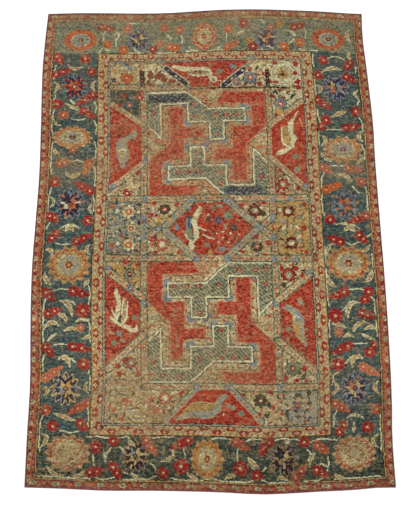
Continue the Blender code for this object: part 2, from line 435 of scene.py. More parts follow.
def medallion(chart, middle, mirror, stretch, red, blossoms, hatch):
    """Two interlocked straps and two red bands on a ground of small blossoms."""
    low, high = middle[1] - 36.0, middle[1] + 36.0
    left, right = middle[0] - 37.6, middle[0] + 37.6
    chart.rectangle(left, right, low, high, "buff_ground")
    chart.mottle([(left, low), (right, low), (right, high), (left, high)], "pink_ground", 0.42, 10, 97)
    bed = (middle[0] - 37.0, middle[0] + 37.0, low, high)
    sprigs(chart, bed, ("rose", "ash", "brick"), 51, 4.6, ("tan", "sage"))
    for turn in (1, -1):
        strap = about(middle, STRAP, turn, mirror)
        band_turn = -turn if mirror < 0 else turn
        band = about((middle[0] + 0.6, middle[1]), RED_BAND, band_turn, mirror, stretch)
        chart.line(outline(strap), 9.6, "brick")
        chart.line(outline(strap), 8.8, "buff_ground" if mirror < 0 else "pink_ground")
        for start, end in zip(strap, strap[1:] + strap[:1]):
            for offset in (-3.2, 3.2):
                span = max(math.dist(start, end), 1e-6)
                shift = (offset * (end[1] - start[1]) / span, -offset * (end[0] - start[0]) / span)
                run = [(p[0] + shift[0], p[1] + shift[1]) for p in (start, end)]
                flower_row(chart, *run, 2.9, ("rose", "ash", "brick", "sage"), 0.85)
        for x, y in strap[4:13]:
            chart.lobes(x, y, 3.1, 3.1, "sky_ground", 4, 0.1, turn=45)
        chart.polygon(band, red)
        chart.mottle(band, "rose_red", 0.45, 9, 91 - turn)
        chart.mottle(band, "red_ground", 0.34, 5, 94 + turn)
        chart.line(outline(band), 0.6, "salmon")
    for turn in (1, -1):
        strap_band(chart, about(middle, STRAP, turn, mirror), about(middle, blossoms, turn, mirror), hatch)


# The straps of the lattice, from end to end of each
LATTICE_BANDS = [
    (64, 246, 64, 172), (142, 244, 142, 172), (65.4, 135, 65.4, 58), (142.3, 134, 142.3, 58),
    (64.8, 172, 64.8, 160), (65.2, 146, 65.2, 135), (142, 172, 142, 159), (142.4, 147, 142.4, 134),
    (44, 171.6, 163, 171.6), (44, 134.4, 163, 133.4), (44, 246.6, 92, 246.6), (66, 57.6, 163, 57.6),
    (64.8, 160.5, 73.2, 152.8), (65.2, 145.5, 73.2, 152.8), (142, 159.5, 134.6, 152.8),
    (142.4, 146.5, 134.6, 152.8),
]
NODES = [
    (64.8, 172), (93, 170.6), (115, 169.8), (142, 171.2), (153.6, 171), (73.2, 152.8), (134.6, 152.8),
    (64.9, 159.8), (142, 158.8), (65.4, 135), (96, 133.4), (114, 133), (142.4, 133.4), (155, 132.8),
    (65.8, 106.6), (142.3, 106), (142, 147), (65.2, 147), (94.6, 57.4), (112.6, 57.4), (142.4, 57.4),
    (64.4, 196.4), (162.4, 179), (163, 125), (45.4, 179.6), (45, 128), (57.5, 115.6),
]
SLANT_WIDTH = 4.6  # of the straps along the slanting sides of the hexagons
SLANT_SHIFT = 1.7  # how far such a strap lies outside the hexagon, in both directions


def shifted_band(chart, start, end, shift, width, ground):
    """A strap moved off the line that it follows."""
    ends = [(x + shift[0], y + shift[1]) for x, y in (start, end)]
    lattice_band(chart, *ends, width, ground)


def draw_lattice(chart):
    for x_a, y_a, x_b, y_b in LATTICE_BANDS:
        lattice_band(chart, (x_a, y_a), (x_b, y_b))
    for side, compartment in enumerate(SIDE_COMPARTMENTS):
        inward = 1.4 if side % 2 == 0 else -1.4
        for start, end, lift in ((*compartment[:2], 2.2), (*compartment[2:], -2.2)):
            shifted_band(chart, start, end, (inward, lift), 4.4, "buff_ground")
    for points in (CENTRE_HEXAGON, TOP_HALF_HEXAGON, NEAR_HALF_HEXAGON):
        middle_x = sum(x for x, _ in points) / len(points)
        middle_y = sum(y for _, y in points) / len(points)
        for start, end in zip(points, points[1:]):
            if abs(start[1] - end[1]) > 8:
                out_x = math.copysign(SLANT_SHIFT, (start[0] + end[0]) / 2 - middle_x)
                out_y = math.copysign(SLANT_SHIFT, (start[1] + end[1]) / 2 - middle_y)
                shifted_band(chart, start, end, (out_x, out_y), SLANT_WIDTH, "ash_ground")
    last = (-SLANT_SHIFT, -SLANT_SHIFT)
    shifted_band(chart, CENTRE_HEXAGON[-1], CENTRE_HEXAGON[0], last, SLANT_WIDTH, "ash_ground")


# The plain grounds round the medallions: the wool and the corners of each
COMPARTMENT_GROUNDS = [
    ("pale_teal", [
        (43.2, 169.6), (61.6, 169.6), (61.6, 161.5), (70.6, 152.8), (61.6, 144.2), (61.6, 137.2),
        (43.2, 137.2),
    ]),
    ("gold_ground", [
        (163.6, 169.4), (144.6, 169.4), (144.6, 161), (137.4, 152.8), (144.6, 144.6), (144.6, 135.8),
        (163.6, 135.8),
    ]),
    ("dark_ground", [(43.2, 244.4), (61.6, 244.4), (61.6, 222.6), (43.2, 235.6)]),
    ("buff_ground", [(44, 177.6), (61.6, 194), (61.6, 174), (44, 174)]),
    ("ivory_ground", [(163.6, 244), (144.4, 244), (144.4, 221), (163.6, 236.6)]),
    ("tan_ground", [(163.6, 176.6), (144.6, 196), (144.6, 173.8), (163.6, 173.8)]),
    ("gold_ground", [(44, 132), (63, 132), (63, 112), (44, 127)]),
    ("buff_ground", [(44, 66), (63, 85.6), (63, 60), (44, 60)]),
    ("buff_ground", [(163.6, 131.4), (144.8, 131.4), (144.8, 110), (163.6, 125)]),
    ("buff_ground", [(163.6, 64), (144.8, 82.6), (144.8, 60), (163.6, 60)]),
    ("buff_ground", [(43.2, 249), (61.6, 249), (61.6, 263.6), (43.2, 263.6)]),
    ("ivory_ground", [(65, 262.4), (74, 262.4), (91, 248.6), (65, 248.6)]),
    ("ivory_ground", [(133.5, 262.4), (141, 262.4), (141, 246), (117.5, 246)]),
    ("ivory_ground", [(143.8, 245.4), (163.6, 245.4), (163.6, 263.6), (143.8, 263.6)]),
    ("buff_ground", [(43.8, 37.6), (64, 37.6), (64, 58), (43.8, 58)]),
    ("ash_ground", [(144.6, 37.6), (163.6, 37.6), (163.6, 55.6), (144.6, 55.6)]),
    ("tan_ground", [(66.8, 55.4), (91, 55.4), (74.5, 37.6), (66.8, 37.6)]),
    ("buff_ground", [(118.4, 55.4), (140, 55.4), (140, 37.6), (135, 37.6)]),
    ("buff_ground", [(67.2, 169.4), (90, 169.4), (76, 155.6), (67.2, 160)]),
    ("buff_ground", [(67.4, 137), (91, 137), (77, 150.4), (67.4, 148)]),
    ("buff_ground", [(139.8, 169), (118.4, 169), (132, 156), (139.8, 160)]),
    ("buff_ground", [(140.2, 136), (118.8, 136), (132, 150), (140.2, 147)]),
]


def draw_red_compartments(chart):
    for points in (*SIDE_COMPARTMENTS, CENTRE_HEXAGON, TOP_HALF_HEXAGON, NEAR_HALF_HEXAGON):
        chart.polygon(points, "red_ground")
    for seed, points in enumerate((*SIDE_COMPARTMENTS, CENTRE_HEXAGON)):
        xs, ys = zip(*points)
        bed = (min(xs), max(xs), min(ys), max(ys))
        chart.within = points
        sprigs(chart, bed, ("rose", "salmon", "crimson"), 71 + seed, 4.4, ("crimson", "rose"))
        chart.within = None
    for seed, points in enumerate((SIDE_COMPARTMENTS[0], SIDE_COMPARTMENTS[1], NEAR_HALF_HEXAGON)):
        chart.polygon(points, "rose_red")
        chart.mottle(points, "red_ground", 0.45, 6, 101 + seed)
        chart.line(points, 2.0, "red")


# The birds, stroke by stroke. Each point of a stroke is x, y and the stroke's width there.
BIRDS = [
    ("ash_ground", [
        (58.8, 216.4, 1.6), (58.2, 214.8, 3.8), (56, 213.2, 3.4), (53, 211.4, 3.2), (50.4, 209.8, 4.8),
        (50, 207, 6.6), (50.6, 203, 8.2), (51.2, 199.4, 7.2), (51.2, 196, 4.8), (50.8, 193, 2.8),
    ]),
    ("tan_ground", [(50.6, 202.6, 3.6), (50.8, 200.2, 3.8)]),
    ("tan", [(54.5, 204, 1.2), (54.7, 199, 1.8)]),
    ("ivory", [(48, 203, 0.7), (50, 204.6, 0.9), (53, 203.8, 0.7)]),
    ("gold_ground", [(151.2, 217.6, 3), (151.4, 212, 6), (152.2, 208, 5.6), (153.2, 205.6, 3)]),
    ("bird_ivory", [
        (159.6, 228.6, 0.7), (157.4, 224.4, 1.1), (155.4, 221.6, 2.2), (154.6, 219.4, 3.4),
        (154.6, 216, 2.7), (155.4, 212.6, 2.7), (156.6, 210, 3.4), (155.6, 207.4, 2.6),
        (154.8, 205.2, 3), (152.4, 203.2, 2.7), (149.8, 201.6, 3.2), (147.6, 200.6, 3.2),
        (146.2, 200.2, 1.6),
    ]),
    ("ivory", [(149.3, 217.4, 0.8), (148.8, 211, 0.8), (150, 206.8, 0.9), (152.6, 204.8, 1.1)]),
    ("buff", [(160.6, 223.6, 0.8), (162.2, 218.4, 0.6)]),
    ("bird_ivory", [
        (49.4, 114.6, 2), (50, 111, 3), (51, 107.4, 2.7), (51, 103.6, 3.3), (49.8, 99.6, 3.6),
        (49.8, 96.6, 2.6),
    ]),
    ("tan_ground", [(54, 109, 1.8), (53.8, 104, 3.8), (54.2, 99, 3.6), (53, 95.6, 2.6)]),
    ("ivory", [(53.8, 108.6, 0.9), (53, 104, 0.8), (52.9, 100, 0.7)]),
    ("ivory", [
        (56.2, 107.4, 0.8), (55.8, 103, 0.8), (55.7, 98.4, 0.9), (54, 95.2, 1), (52.4, 94.4, 1),
    ]),
    ("ivory", [(47, 102.4, 1), (48, 99.6, 0.9)]),
    ("moss", [(52.2, 99.4, 1.2), (51.4, 96.4, 2), (50.8, 94.8, 1)]),
    ("bird_ivory", [
        (46.2, 98, 1.3), (48.6, 95.6, 1.6), (52, 93.6, 1.9), (55.4, 92.4, 2.3), (58.4, 90.8, 3.2),
        (60.8, 90.4, 2.2), (61.4, 93, 1.3),
    ]),
    ("rose", [(58.2, 92.4, 0.9), (59.4, 91.9, 0.8)]),
    ("ash_ground", [
        (147, 103.6, 2.2), (148.6, 104.2, 3.4), (150.8, 102.6, 3.4), (153.4, 100, 5), (154.6, 96, 6.4),
        (154.4, 91, 6.2), (155.4, 87, 4.4), (157, 84, 2.6), (158.4, 81.4, 1.2),
    ]),
    ("sky", [(153.6, 100.8, 2), (156.6, 97.6, 1.9)]),
    ("gold_ground", [(152.2, 94.6, 2.4), (153.2, 90.6, 3.4), (154, 87, 2.2)]),
    ("ivory", [(151.8, 96.8, 0.8), (153.2, 99.2, 1), (154.8, 97.8, 0.8)]),
    ("bird_ivory", [
        (98.6, 165.6, 2.2), (97.6, 163.2, 3.3), (95.8, 160.4, 3.3), (94.8, 157, 3.1),
        (95.4, 153.6, 2.9), (96.2, 150.6, 3.1), (96, 147, 3), (94.4, 144.4, 2.5), (92.8, 142.6, 2.7),
        (94, 140.2, 2.7),
    ]),
    ("teal", [(91.6, 159, 2.8), (91.6, 155, 3.8), (91.8, 151.6, 3.4)]),
    ("sky", [(90.7, 158.6, 0.8), (90.5, 152, 0.8)]),
    ("sky", [(92.5, 158.6, 0.7), (92.5, 152, 0.7)]),
    ("sage", [(91.4, 150.6, 4.4), (92.6, 147.6, 3.6), (94, 145.8, 2)]),
    ("tan", [(92, 149.6, 1.6), (93, 147.4, 1.2)]),
    ("ivory", [(89.6, 148.8, 0.9), (91.2, 146, 0.9), (93.6, 144.6, 1)]),
    ("ivory", [(97, 153, 1.1), (99, 152.2, 1), (102, 151, 0.7)]),
    ("ivory", [(100.4, 148.4, 1), (103, 146.6, 1), (106.4, 145.8, 0.8)]),
    ("bird_ivory", [
        (82.8, 261.2, 1.6), (86, 260.2, 3), (90, 258.8, 3.4), (95, 258.2, 2.8), (100, 258.6, 2.4),
        (103.6, 258.4, 2.8), (105.6, 256.8, 3.2), (106, 254, 3), (106.2, 251.6, 2.4),
    ]),
    ("tan_ground", [(92, 256.2, 1.4), (97, 255.6, 2.8), (102, 255.6, 2.8), (105, 256, 1.6)]),
    ("moss", [(96.6, 256.4, 0.7), (103, 256, 0.6)]),
    ("ivory", [
        (93.4, 254.6, 0.9), (95.4, 254.2, 1.1), (97.4, 253.8, 0.9), (99.6, 253.4, 1.1),
        (102.4, 253.6, 0.9), (105, 254.6, 0.9),
    ]),
    ("bird_ivory", [
        (106.4, 251.4, 1.5), (106.8, 249.4, 1.3), (108.6, 248.6, 1.3), (110.2, 249.8, 1.3),
        (109.8, 251.8, 1.3), (108, 252.2, 1.3), (106.6, 251.4, 1.3),
    ]),
    ("sage", [(108.2, 250.4, 1.1), (108.9, 250.4, 1.1)]),
    ("ash_ground", [
        (84.4, 39.4, 1.4), (88, 41, 3.2), (93, 42.8, 5.8), (98, 43.4, 7.2), (103, 43.6, 7.6),
        (106.4, 45.6, 5.8), (107.4, 48.4, 4), (109, 50.8, 3.6), (111.4, 52.6, 2.4),
    ]),
    ("gold_ground", [(88.4, 44, 2.2), (93, 45.8, 4), (99, 46.2, 4.4), (104, 46.4, 3.4)]),
    ("buff", [(91, 48, 0.8), (98, 48.9, 0.9), (104, 48.4, 0.8)]),
]


def draw_birds(chart):
    for wool, route in BIRDS:
        chart.line([(x, y) for x, y, _ in route], [width for _, _, width in route], wool)


# Flowers with a heart: x, y, radius, the wool of the petals and the wool of the heart
RING_FLOWERS = [
    (53.4, 253.4, 3.9, "orange", "red"), (131.6, 251.6, 4.3, "sky_ground", "bloom_rose"),
    (149.4, 233.6, 4.3, "sky_ground", "bloom_rose"), (122.8, 248.8, 2.7, "sky_ground", "rose"),
    (148.8, 180.2, 3.9, "bloom_red", "buff"), (150, 123.6, 4.4, "bloom_red", "ash"),
    (150.2, 68.4, 4.2, "sage", "crimson"), (57.2, 124.2, 3.7, "sage", "crimson"),
    (57.6, 71.4, 3.6, "bloom_red", "sage"), (77, 51, 3.8, "bloom_rose", "ivory"),
    (131.4, 50.6, 3.9, "moss", "crimson"), (152, 47.4, 3, "violet", "brick"),
    (57.4, 152.8, 3.2, "buff", "brick"), (55.6, 163.6, 4.6, "leaf_ivory", "orange"),
    (56.2, 142.6, 4.6, "leaf_ivory", "orange"), (77, 165, 3.4, "moss", "bloom_red"),
    (76, 142.6, 3.9, "bloom_rose", "ivory"), (132, 141, 3.4, "moss", "bloom_rose"),
    (131.2, 163.6, 4.2, "crimson", "ash"), (55, 234.6, 3.2, "sea", "rose"),
    (151.2, 163, 3.8, "crimson", "leaf_ivory"), (152.5, 143, 3.9, "crimson", "leaf_ivory"),
    (109, 157.4, 2.4, "violet", "navy"),
]
# Small blossoms by wool: x, y, reach across and reach up
BLOSSOMS = {
    "bloom_red": [
        (51.6, 241.2, 2.5, 1.7), (62, 239.6, 2.6, 2.1), (48.6, 234, 2, 1.3), (62, 243.2, 1.8, 1),
        (144.4, 238.6, 1.3, 1.7), (151.6, 238, 1.4, 0.9), (154.6, 241.6, 1.8, 0.6),
        (131.6, 258, 1.7, 1.5), (136.9, 253.4, 1.2, 1.2), (137.2, 247.2, 2, 1.7),
        (139.8, 254.6, 1.3, 1.3), (146.2, 226, 1.9, 1.4), (60.4, 189, 2, 1.4), (54, 175.4, 3, 2.2),
        (145, 175.6, 1.5, 1.4), (149, 173.9, 2, 1.3), (158, 177.4, 1.7, 1.5), (146.8, 189, 1.8, 2),
        (70.5, 169, 1.7, 1.6), (84.2, 168, 2.1, 1.3), (68.6, 161.4, 2.4, 1.8), (70.8, 146, 2.6, 2.4),
        (86.2, 138, 2.2, 1.4), (72, 137.4, 1.7, 1.2), (123.2, 167, 1.8, 1.4), (136.6, 168.4, 1.7, 1.3),
        (138.8, 143.4, 1.9, 1.9), (132, 147, 1.7, 1.4), (137, 136.2, 1.7, 1.2), (123.2, 138, 2, 1.4),
        (55, 132, 2.6, 1.7), (62, 130.2, 1.7, 1.6), (146, 127.4, 1.8, 1.6), (154.2, 127.4, 2.2, 1.6),
        (158, 123, 1.6, 1.5), (50, 69.6, 1.9, 1.5), (54, 72.6, 1.5, 1.3), (51, 65, 2.1, 1.9),
        (62, 65, 1.8, 1.8), (157, 68, 1.9, 1.7), (145.6, 62.6, 1.7, 1.6), (152, 61.6, 2, 1.2),
        (157.6, 61.2, 1.6, 1.1), (86.4, 54.2, 2.4, 1.2), (121.8, 53.6, 1.5, 1), (136.8, 55.4, 1.7, 1.1),
        (138, 47, 1.9, 1.7), (131, 42.8, 1.7, 1.3), (76.6, 43.6, 1.4, 1.1), (147.2, 248.4, 2.3, 1.2),
        (160.2, 255, 1.9, 1.7), (147.6, 261.8, 2.8, 1.2), (161, 261.6, 2.2, 1.7),
        (161, 249.2, 2.2, 2.6), (161.4, 245.2, 2, 2), (161, 167, 1.9, 1.7), (161, 137.2, 1.9, 1.5),
        (160.4, 152.4, 1.7, 1.7), (46, 124.6, 1.4, 1.3),
    ],
    "bloom_rose": [
        (69.4, 50, 2.2, 1.7), (72, 44, 2.4, 1.7), (55, 49.8, 2.6, 1.9), (53, 39.4, 1.9, 1.2),
        (48, 44.2, 1.7, 1.5), (64, 81, 1.2, 1.3), (46.6, 142, 1.9, 1.5), (45.4, 166.8, 1.9, 1.7),
    ],
    "brick": [
        (73.4, 254.6, 3.2, 2.4), (77, 252.4, 2.8, 2.2), (82.6, 251, 3.2, 1.7), (87, 249, 2.6, 1.4),
        (68.6, 255, 2.2, 3), (69, 248.6, 2.6, 1.3), (66.6, 250, 1.2, 2.2),
    ],
    "moss": [
        (56.6, 242.9, 3, 0.9), (50, 238.4, 2.6, 1.2), (46.4, 237, 1.6, 0.9), (147, 241.8, 2.4, 0.9),
        (149, 238.8, 0.7, 1.7), (147, 117.4, 2.1, 1.7), (136.4, 161.6, 2.1, 1.9),
        (157, 238.6, 2.6, 1.1), (156.2, 63.2, 2.1, 1.5), (136, 48, 1.7, 1.4), (135, 42.2, 1.7, 1.3),
        (146.2, 42.6, 2.1, 1.4), (153, 41.2, 2.1, 1.1), (152.6, 53.2, 2.4, 1.2),
        (159.2, 54.4, 2.1, 1.4), (159, 48.8, 1.4, 1.7), (118.6, 152.6, 2.3, 1.9),
        (103, 157.8, 1.7, 1.5), (136.2, 258, 0.7, 2.2), (128.6, 247.2, 2.4, 0.6),
    ],
    "navy": [
        (46, 262.8, 2.2, 0.6), (54, 262.8, 2, 0.6), (45.2, 251.6, 1.7, 1.9), (62, 157, 1.7, 1.1),
        (48, 169.4, 2.3, 0.8), (61.2, 168, 1.2, 1.5), (61.2, 138.6, 1.2, 1.5), (54, 239, 0.9, 1.9),
    ],
    "sage": [
        (114.6, 160.3, 2.8, 2.7), (102.6, 142, 1.7, 1.5), (106, 165.4, 1.8, 1.3),
        (112.2, 256, 2.4, 1.7), (122.6, 258.8, 1.5, 1.3), (60.6, 249.6, 1.8, 1.5), (60, 98, 1.7, 1.5),
        (48.2, 83, 1.9, 1.7), (148.4, 91, 1.6, 2), (157, 198.4, 2, 1.7), (120.6, 43.2, 2.1, 1.9),
        (158, 159, 1.4, 2),
    ],
    "ash": [
        (110, 166.2, 2.2, 1.2), (113.4, 153.6, 0.8, 2.6), (157.8, 189.6, 2.4, 2.1),
        (113.2, 47, 1.7, 1.5), (116, 46.2, 1.5, 1.5), (53.2, 84, 1.7, 1.1), (46.6, 88.8, 0.9, 2.2),
        (156, 107.4, 1.5, 2.6), (47.2, 153, 1.7, 2.7), (50.6, 154.2, 1.2, 1.9), (57.4, 239.8, 1.8, 0.9),
        (63.4, 152.8, 2.1, 1.3), (147.4, 156.6, 1.8, 2.2), (147.6, 149.4, 1.8, 2.2),
        (157.4, 144.6, 1.5, 2),
    ],
    "sky": [
        (111.6, 139.2, 2.6, 1.7), (51.2, 88.2, 2.3, 1.5), (120.2, 259.4, 1.9, 1.5),
        (84.6, 153.6, 1.2, 2.8), (75.6, 247.4, 2.2, 1.2), (92, 165.4, 1.4, 1.2), (53, 262, 8, 0.8),
        (49.4, 158.2, 1.7, 1),
    ],
    "gold": [
        (74, 159, 2.5, 1.3), (46, 258, 1.5, 2.6), (57.6, 256.6, 1.3, 2), (57.4, 250.4, 2.6, 1.2),
        (104.6, 137, 2.2, 1.4), (148.2, 228.6, 3.2, 1.7), (149.6, 47.6, 1, 1.2), (154.4, 47.2, 1, 1.2),
        (152, 50.2, 1.2, 0.9), (80.4, 158.2, 2, 1.2),
    ],
    "ivory": [
        (148.4, 152.6, 0.8, 2.2), (152.6, 152.8, 0.8, 2), (156.6, 152.6, 0.8, 2.2),
        (146.6, 163.8, 1.4, 1.2), (157, 146.8, 1.4, 1.2), (48.6, 163.8, 1.5, 1.2),
        (49.6, 143.2, 1.4, 1.3), (61.6, 163.4, 1, 1.2), (70, 165.6, 1, 0.9), (135, 165, 1.2, 0.9),
        (108, 149, 0.7, 0.6), (112, 149.9, 0.8, 0.6), (116.4, 149, 0.7, 0.7), (112, 146, 0.7, 0.6),
        (109.6, 143.4, 0.8, 0.6), (115, 143.4, 0.9, 0.6), (121.6, 148.4, 0.9, 0.6),
        (103.2, 161, 0.7, 0.6), (110.4, 42.4, 0.5, 1), (112.4, 249.8, 1.2, 0.5),
        (61.4, 239.6, 0.7, 0.6), (54.2, 175.4, 1, 0.8),
    ],
}


def draw_small_flowers(chart):
    for x, y, radius, petals, heart in RING_FLOWERS:
        ring_flower(chart, x, y, radius, petals, heart)
    for wool, places in BLOSSOMS.items():
        for x, y, across, up in places:
            chart.lobes(x, y, across, up, wool, 5, 0.22, turn=13 * x)


CARTOUCHE = [
    (145.6, 247.4), (145.2, 255.6), (147.6, 260.2), (151.4, 262.8), (156.6, 262.6), (159.8, 259.4),
    (162, 256.2), (160.6, 251.2), (157.8, 248), (152, 246.4),
]


CARTOUCHE_BUDS = [
    (147.2, 248.4, 2.3, 1.2), (160.2, 255, 1.9, 1.7), (147.6, 261.8, 2.8, 1.2), (161, 261.6, 2.2, 1.7),
]


def draw_top_corner_work(chart):
    """The dark columns, the dark slanting bars and the ivory cartouche of the far end."""
    for x, low, high in ((63.3, 247.6, 258.2), (142.4, 245.4, 257.0)):
        chart.rectangle(x - 1.5, x + 1.5, low, high, "umber")
        flower_row(chart, (x, low), (x, high), 2.3, ("ash", "rose"), 0.55)
    for start, end in (((78.6, 259.6), (90.6, 248.8)), ((114.6, 246.4), (128.0, 257.6))):
        chart.line([start, end], 4.4, "leaf_ivory")
        chart.line([start, end], 3.0, "navy")
        flower_row(chart, start, end, 2.7, ("sky", "umber", "ivory"), 0.85)
    chart.polygon(CARTOUCHE, "leaf_ivory")
    chart.line(outline(CARTOUCHE), 1.5, "umber")
    chart.line(outline(CARTOUCHE), 1.0, "ivory")
    chart.lobes(152.0, 254.4, 4.4, 4.3, "gold_ground", 8, 0.28)
    flames(chart, 152.0, 254.4, 4.4, 4.3, ["umber", "gold", "olive"] * 3, 0.2, 0.9, 0.16)
    chart.lobes(152.4, 253.6, 1.6, 1.3, "umber", 5, 0.3)
    for x, y, across, up in CARTOUCHE_BUDS:
        chart.lobes(x, y, across, up, "bloom_red", 5, 0.22)
    chart.line([(93.0, 244.8), (156.0, 244.6)], 0.9, "umber")


# Beds of small flowers: the box, the wools of the blossoms, the seed, the pitch and the wools of the leaves
SPRIG_BEDS = [
    ((43.6, 66.0, 37.4, 263.0), ("red", "rose", "sky", "ivory", "gold"), 61, 4.2, ("moss", "sea", "umber")),
    (
        (140.0, 163.4, 37.4, 263.0), ("red", "rose", "sage", "ivory", "red"), 62, 4.2,
        ("moss", "teal", "umber"),
    ),
    ((66.0, 140.0, 244.0, 263.4), ("red", "rose", "sky", "rose"), 63, 4.0, ("moss", "umber", "brick")),
    ((66.0, 140.0, 135.0, 171.0), ("red", "rose", "ivory", "sky"), 64, 4.0, ("moss", "umber", "olive")),
    ((66.0, 140.0, 37.4, 58.0), ("rose", "sage", "rose", "ivory"), 65, 4.2, ("olive", "moss", "tan")),
]
# Red blossoms on half of a strap, and the dark bar at the strap's end, about the medallion's middle
UPPER_SPOTS = [
    (-8, 27), (-7, 19), (6, 18.6), (12, 18.6), (18, 18.6), (6, 6), (-33, 22),
]
LOWER_SPOTS = [
    (-17.6, 31.6), (-27.6, 31.4), (-33.4, 31.6), (-33, 23), (6, 21.4), (13, 21), (20, 21.4), (5.8, 5),
    (-6, 22),
]
DARK_BAR = [
    (-36.2, 34.4), (-12.6, 34.4), (-9.6, 31.4), (-12.4, 28.6), (-36.2, 28.6),
]


def draw_field(chart):
    chart.rectangle(*FIELD, "tan_ground")
    for wool, points in COMPARTMENT_GROUNDS:
        chart.polygon(points, wool)
    for bed in SPRIG_BEDS:
        sprigs(chart, *bed)
    medallion(chart, UPPER_MEDALLION, 1, 1.0, "worn_red", UPPER_SPOTS, "teal")
    medallion(chart, LOWER_MEDALLION, -1, 1.08, "rose_red", LOWER_SPOTS, "moss")
    for turn in (1, -1):
        bar = about(UPPER_MEDALLION, DARK_BAR, turn)
        chart.polygon(bar, "strap_dark")
        feather(chart, bar, "navy", 3.4, -1.0)
    draw_lattice(chart)
    draw_red_compartments(chart)
    draw_birds(chart)
    draw_small_flowers(chart)
    draw_top_corner_work(chart)
    for x, y in NODES:
        lattice_node(chart, x, y)


# The minor border: one repeat of its small flowers, charted with a letter for each wool
GUARD_LETTERS = {
    ".": "buff", "o": "ivory", "r": "red", "d": "umber",
    "s": "sage", "p": "salmon", "t": "tan", "b": "brick",
}
GUARD_HALF = [
    "p..t..d.o..",
    ".t....brrb.",
    "o..p.drrdrr",
    ".s..brrdopr",
    "tt.p.rropo.",
    ".s..brrdopr",
    "o..p.drrdrr",
    ".t....brrb.",
    "p..t..d.o..",
]
GUARD_REPEAT = GUARD_HALF + [line[::-1] for line in GUARD_HALF]


def guard_stripe(chart, low_x, high_x, low_y, high_y, repeat, along_x):
    """The small-flower repeat, laid along a stripe of the minor border."""
    x, y, box = chart.window(low_x, high_x, low_y, high_y)
    along, across = (x - low_x, y - low_y) if along_x else (y - low_y, x - low_x)
    depth = (high_y - low_y) if along_x else (high_x - low_x)
    row = (along / repeat * len(GUARD_REPEAT)).astype(int) % len(GUARD_REPEAT)
    column = np.clip((across / depth * len(GUARD_REPEAT[0])).astype(int), 0, len(GUARD_REPEAT[0]) - 1)
    wools = {letter: WOOL_NAMES.index(wool) for letter, wool in GUARD_LETTERS.items()}
    knots = np.array([[wools[letter] for letter in line] for line in GUARD_REPEAT])
    chart.wool[box] = knots[row, column]


def draw_minor_border(chart):
    chart.rectangle(34.8, 171.6, 29.8, 270.6, "umber")
    chart.rectangle(35.3, 171.1, 30.3, 270.1, "gold_ground")
    chart.rectangle(36.2, 170.2, 31.2, 269.2, "umber")
    guard_stripe(chart, 36.6, 41.4, 31.4, 269.2, 15.2, False)
    guard_stripe(chart, 165.2, 169.9, 31.4, 269.2, 15.2, False)
    guard_stripe(chart, 36.6, 169.9, 31.4, 35.4, 14.9, True)
    guard_stripe(chart, 36.6, 169.9, 265.0, 269.0, 9.8, True)
    chart.rectangle(41.4, 165.2, 35.4, 265.0, "umber")
    chart.rectangle(41.8, 164.8, 35.8, 264.6, "ash_ground")
    chart.rectangle(42.8, 164.0, 36.6, 263.9, "umber")


# The main border


def draw_border_ground(chart):
    chart.rectangle(6.6, 199.8, 5.6, 294.0, "teal_ground")
    chart.rectangle(6.6, 199.8, 5.6, 30.0, "dark_ground")
    chart.rectangle(6.6, 199.8, 270.6, 294.0, "sage_ground")


COLD, MIXED, DUSKY = ["sky", "sky", "violet"], ["sky", "salmon", "violet"], ["buff", "sky", "gold"]
FADED_NEAR, FADED_RIGHT = ["tan", "buff", "violet"], ["tan", "sky", "violet"]
FIERY = ["sky", "red", "orange"]
# The jagged flowers: x, y, size, the wools of the rim, of the inner petals, of the star and of the heart
JAGGED_PALMETTES = [
    (20.5, 247.0, 9.8, FIERY, ["red", "orange", "red", "salmon"], "navy", "ivory"),
    (185.0, 245.4, 9.8, COLD, ["sky", "buff", "salmon", "sky"], "navy", "salmon"),
    (20.0, 168.0, 10.4, MIXED, ["salmon", "navy", "ivory", "orange"], "navy", "rose"),
    (185.4, 167.4, 10.2, MIXED, ["salmon", "orange", "sky", "salmon"], "teal", "rose"),
    (20.4, 55.4, 10.0, DUSKY, ["gold", "buff", "sky", "buff"], "navy", "gold"),
    (185.2, 56.0, 10.0, COLD, ["buff", "salmon", "buff", "sky"], "navy", "rose"),
    (60.6, 280.8, 8.6, COLD, ["buff", "violet", "buff", "navy"], "navy", "olive"),
    (143.6, 279.4, 9.0, COLD, ["salmon", "navy", "buff", "navy"], "navy", "salmon"),
    (61.4, 18.8, 9.4, FADED_NEAR, ["buff", "sky", "buff", "tan"], "umber", "olive"),
    (144.4, 18.2, 9.8, FADED_RIGHT, ["buff", "navy", "tan", "navy"], "umber", "buff"),
]
# The scalloped flowers: x, y, reach across and up, and the wools of the heart, core, rim and dashes
SCALLOPED_PALMETTES = [
    (19.6, 212.0, 12.6, 7.8, "ash_ground", "navy", "tan_ground", "orange"),
    (186.4, 203.4, 12.6, 9.2, "ash_ground", "violet", "tan_ground", "orange"),
    (21.6, 129.4, 12.8, 11.8, "ash_ground", "crimson", "gold_ground", "red"),
    (185.4, 130.2, 13.4, 11.2, "ash_ground", "crimson", "gold_ground", "red"),
    (23.0, 280.0, 11.6, 8.2, "sky_ground", "umber", "worn_red", "orange"),
    (183.4, 280.0, 11.4, 8.4, "sky_ground", "crimson", "red_ground", "orange"),
    (23.4, 19.6, 13.0, 10.4, "tan_ground", "ash", "tan_ground", "rose"),
    (184.2, 19.6, 12.6, 10.2, "tan_ground", "ash", "tan_ground", "rose"),
    (103.0, 281.4, 8.6, 10.8, "buff_ground", "red", "rose_red", "buff"),
    (101.6, 17.6, 9.6, 11.2, "buff_ground", "brick", "gold_ground", "orange"),
]


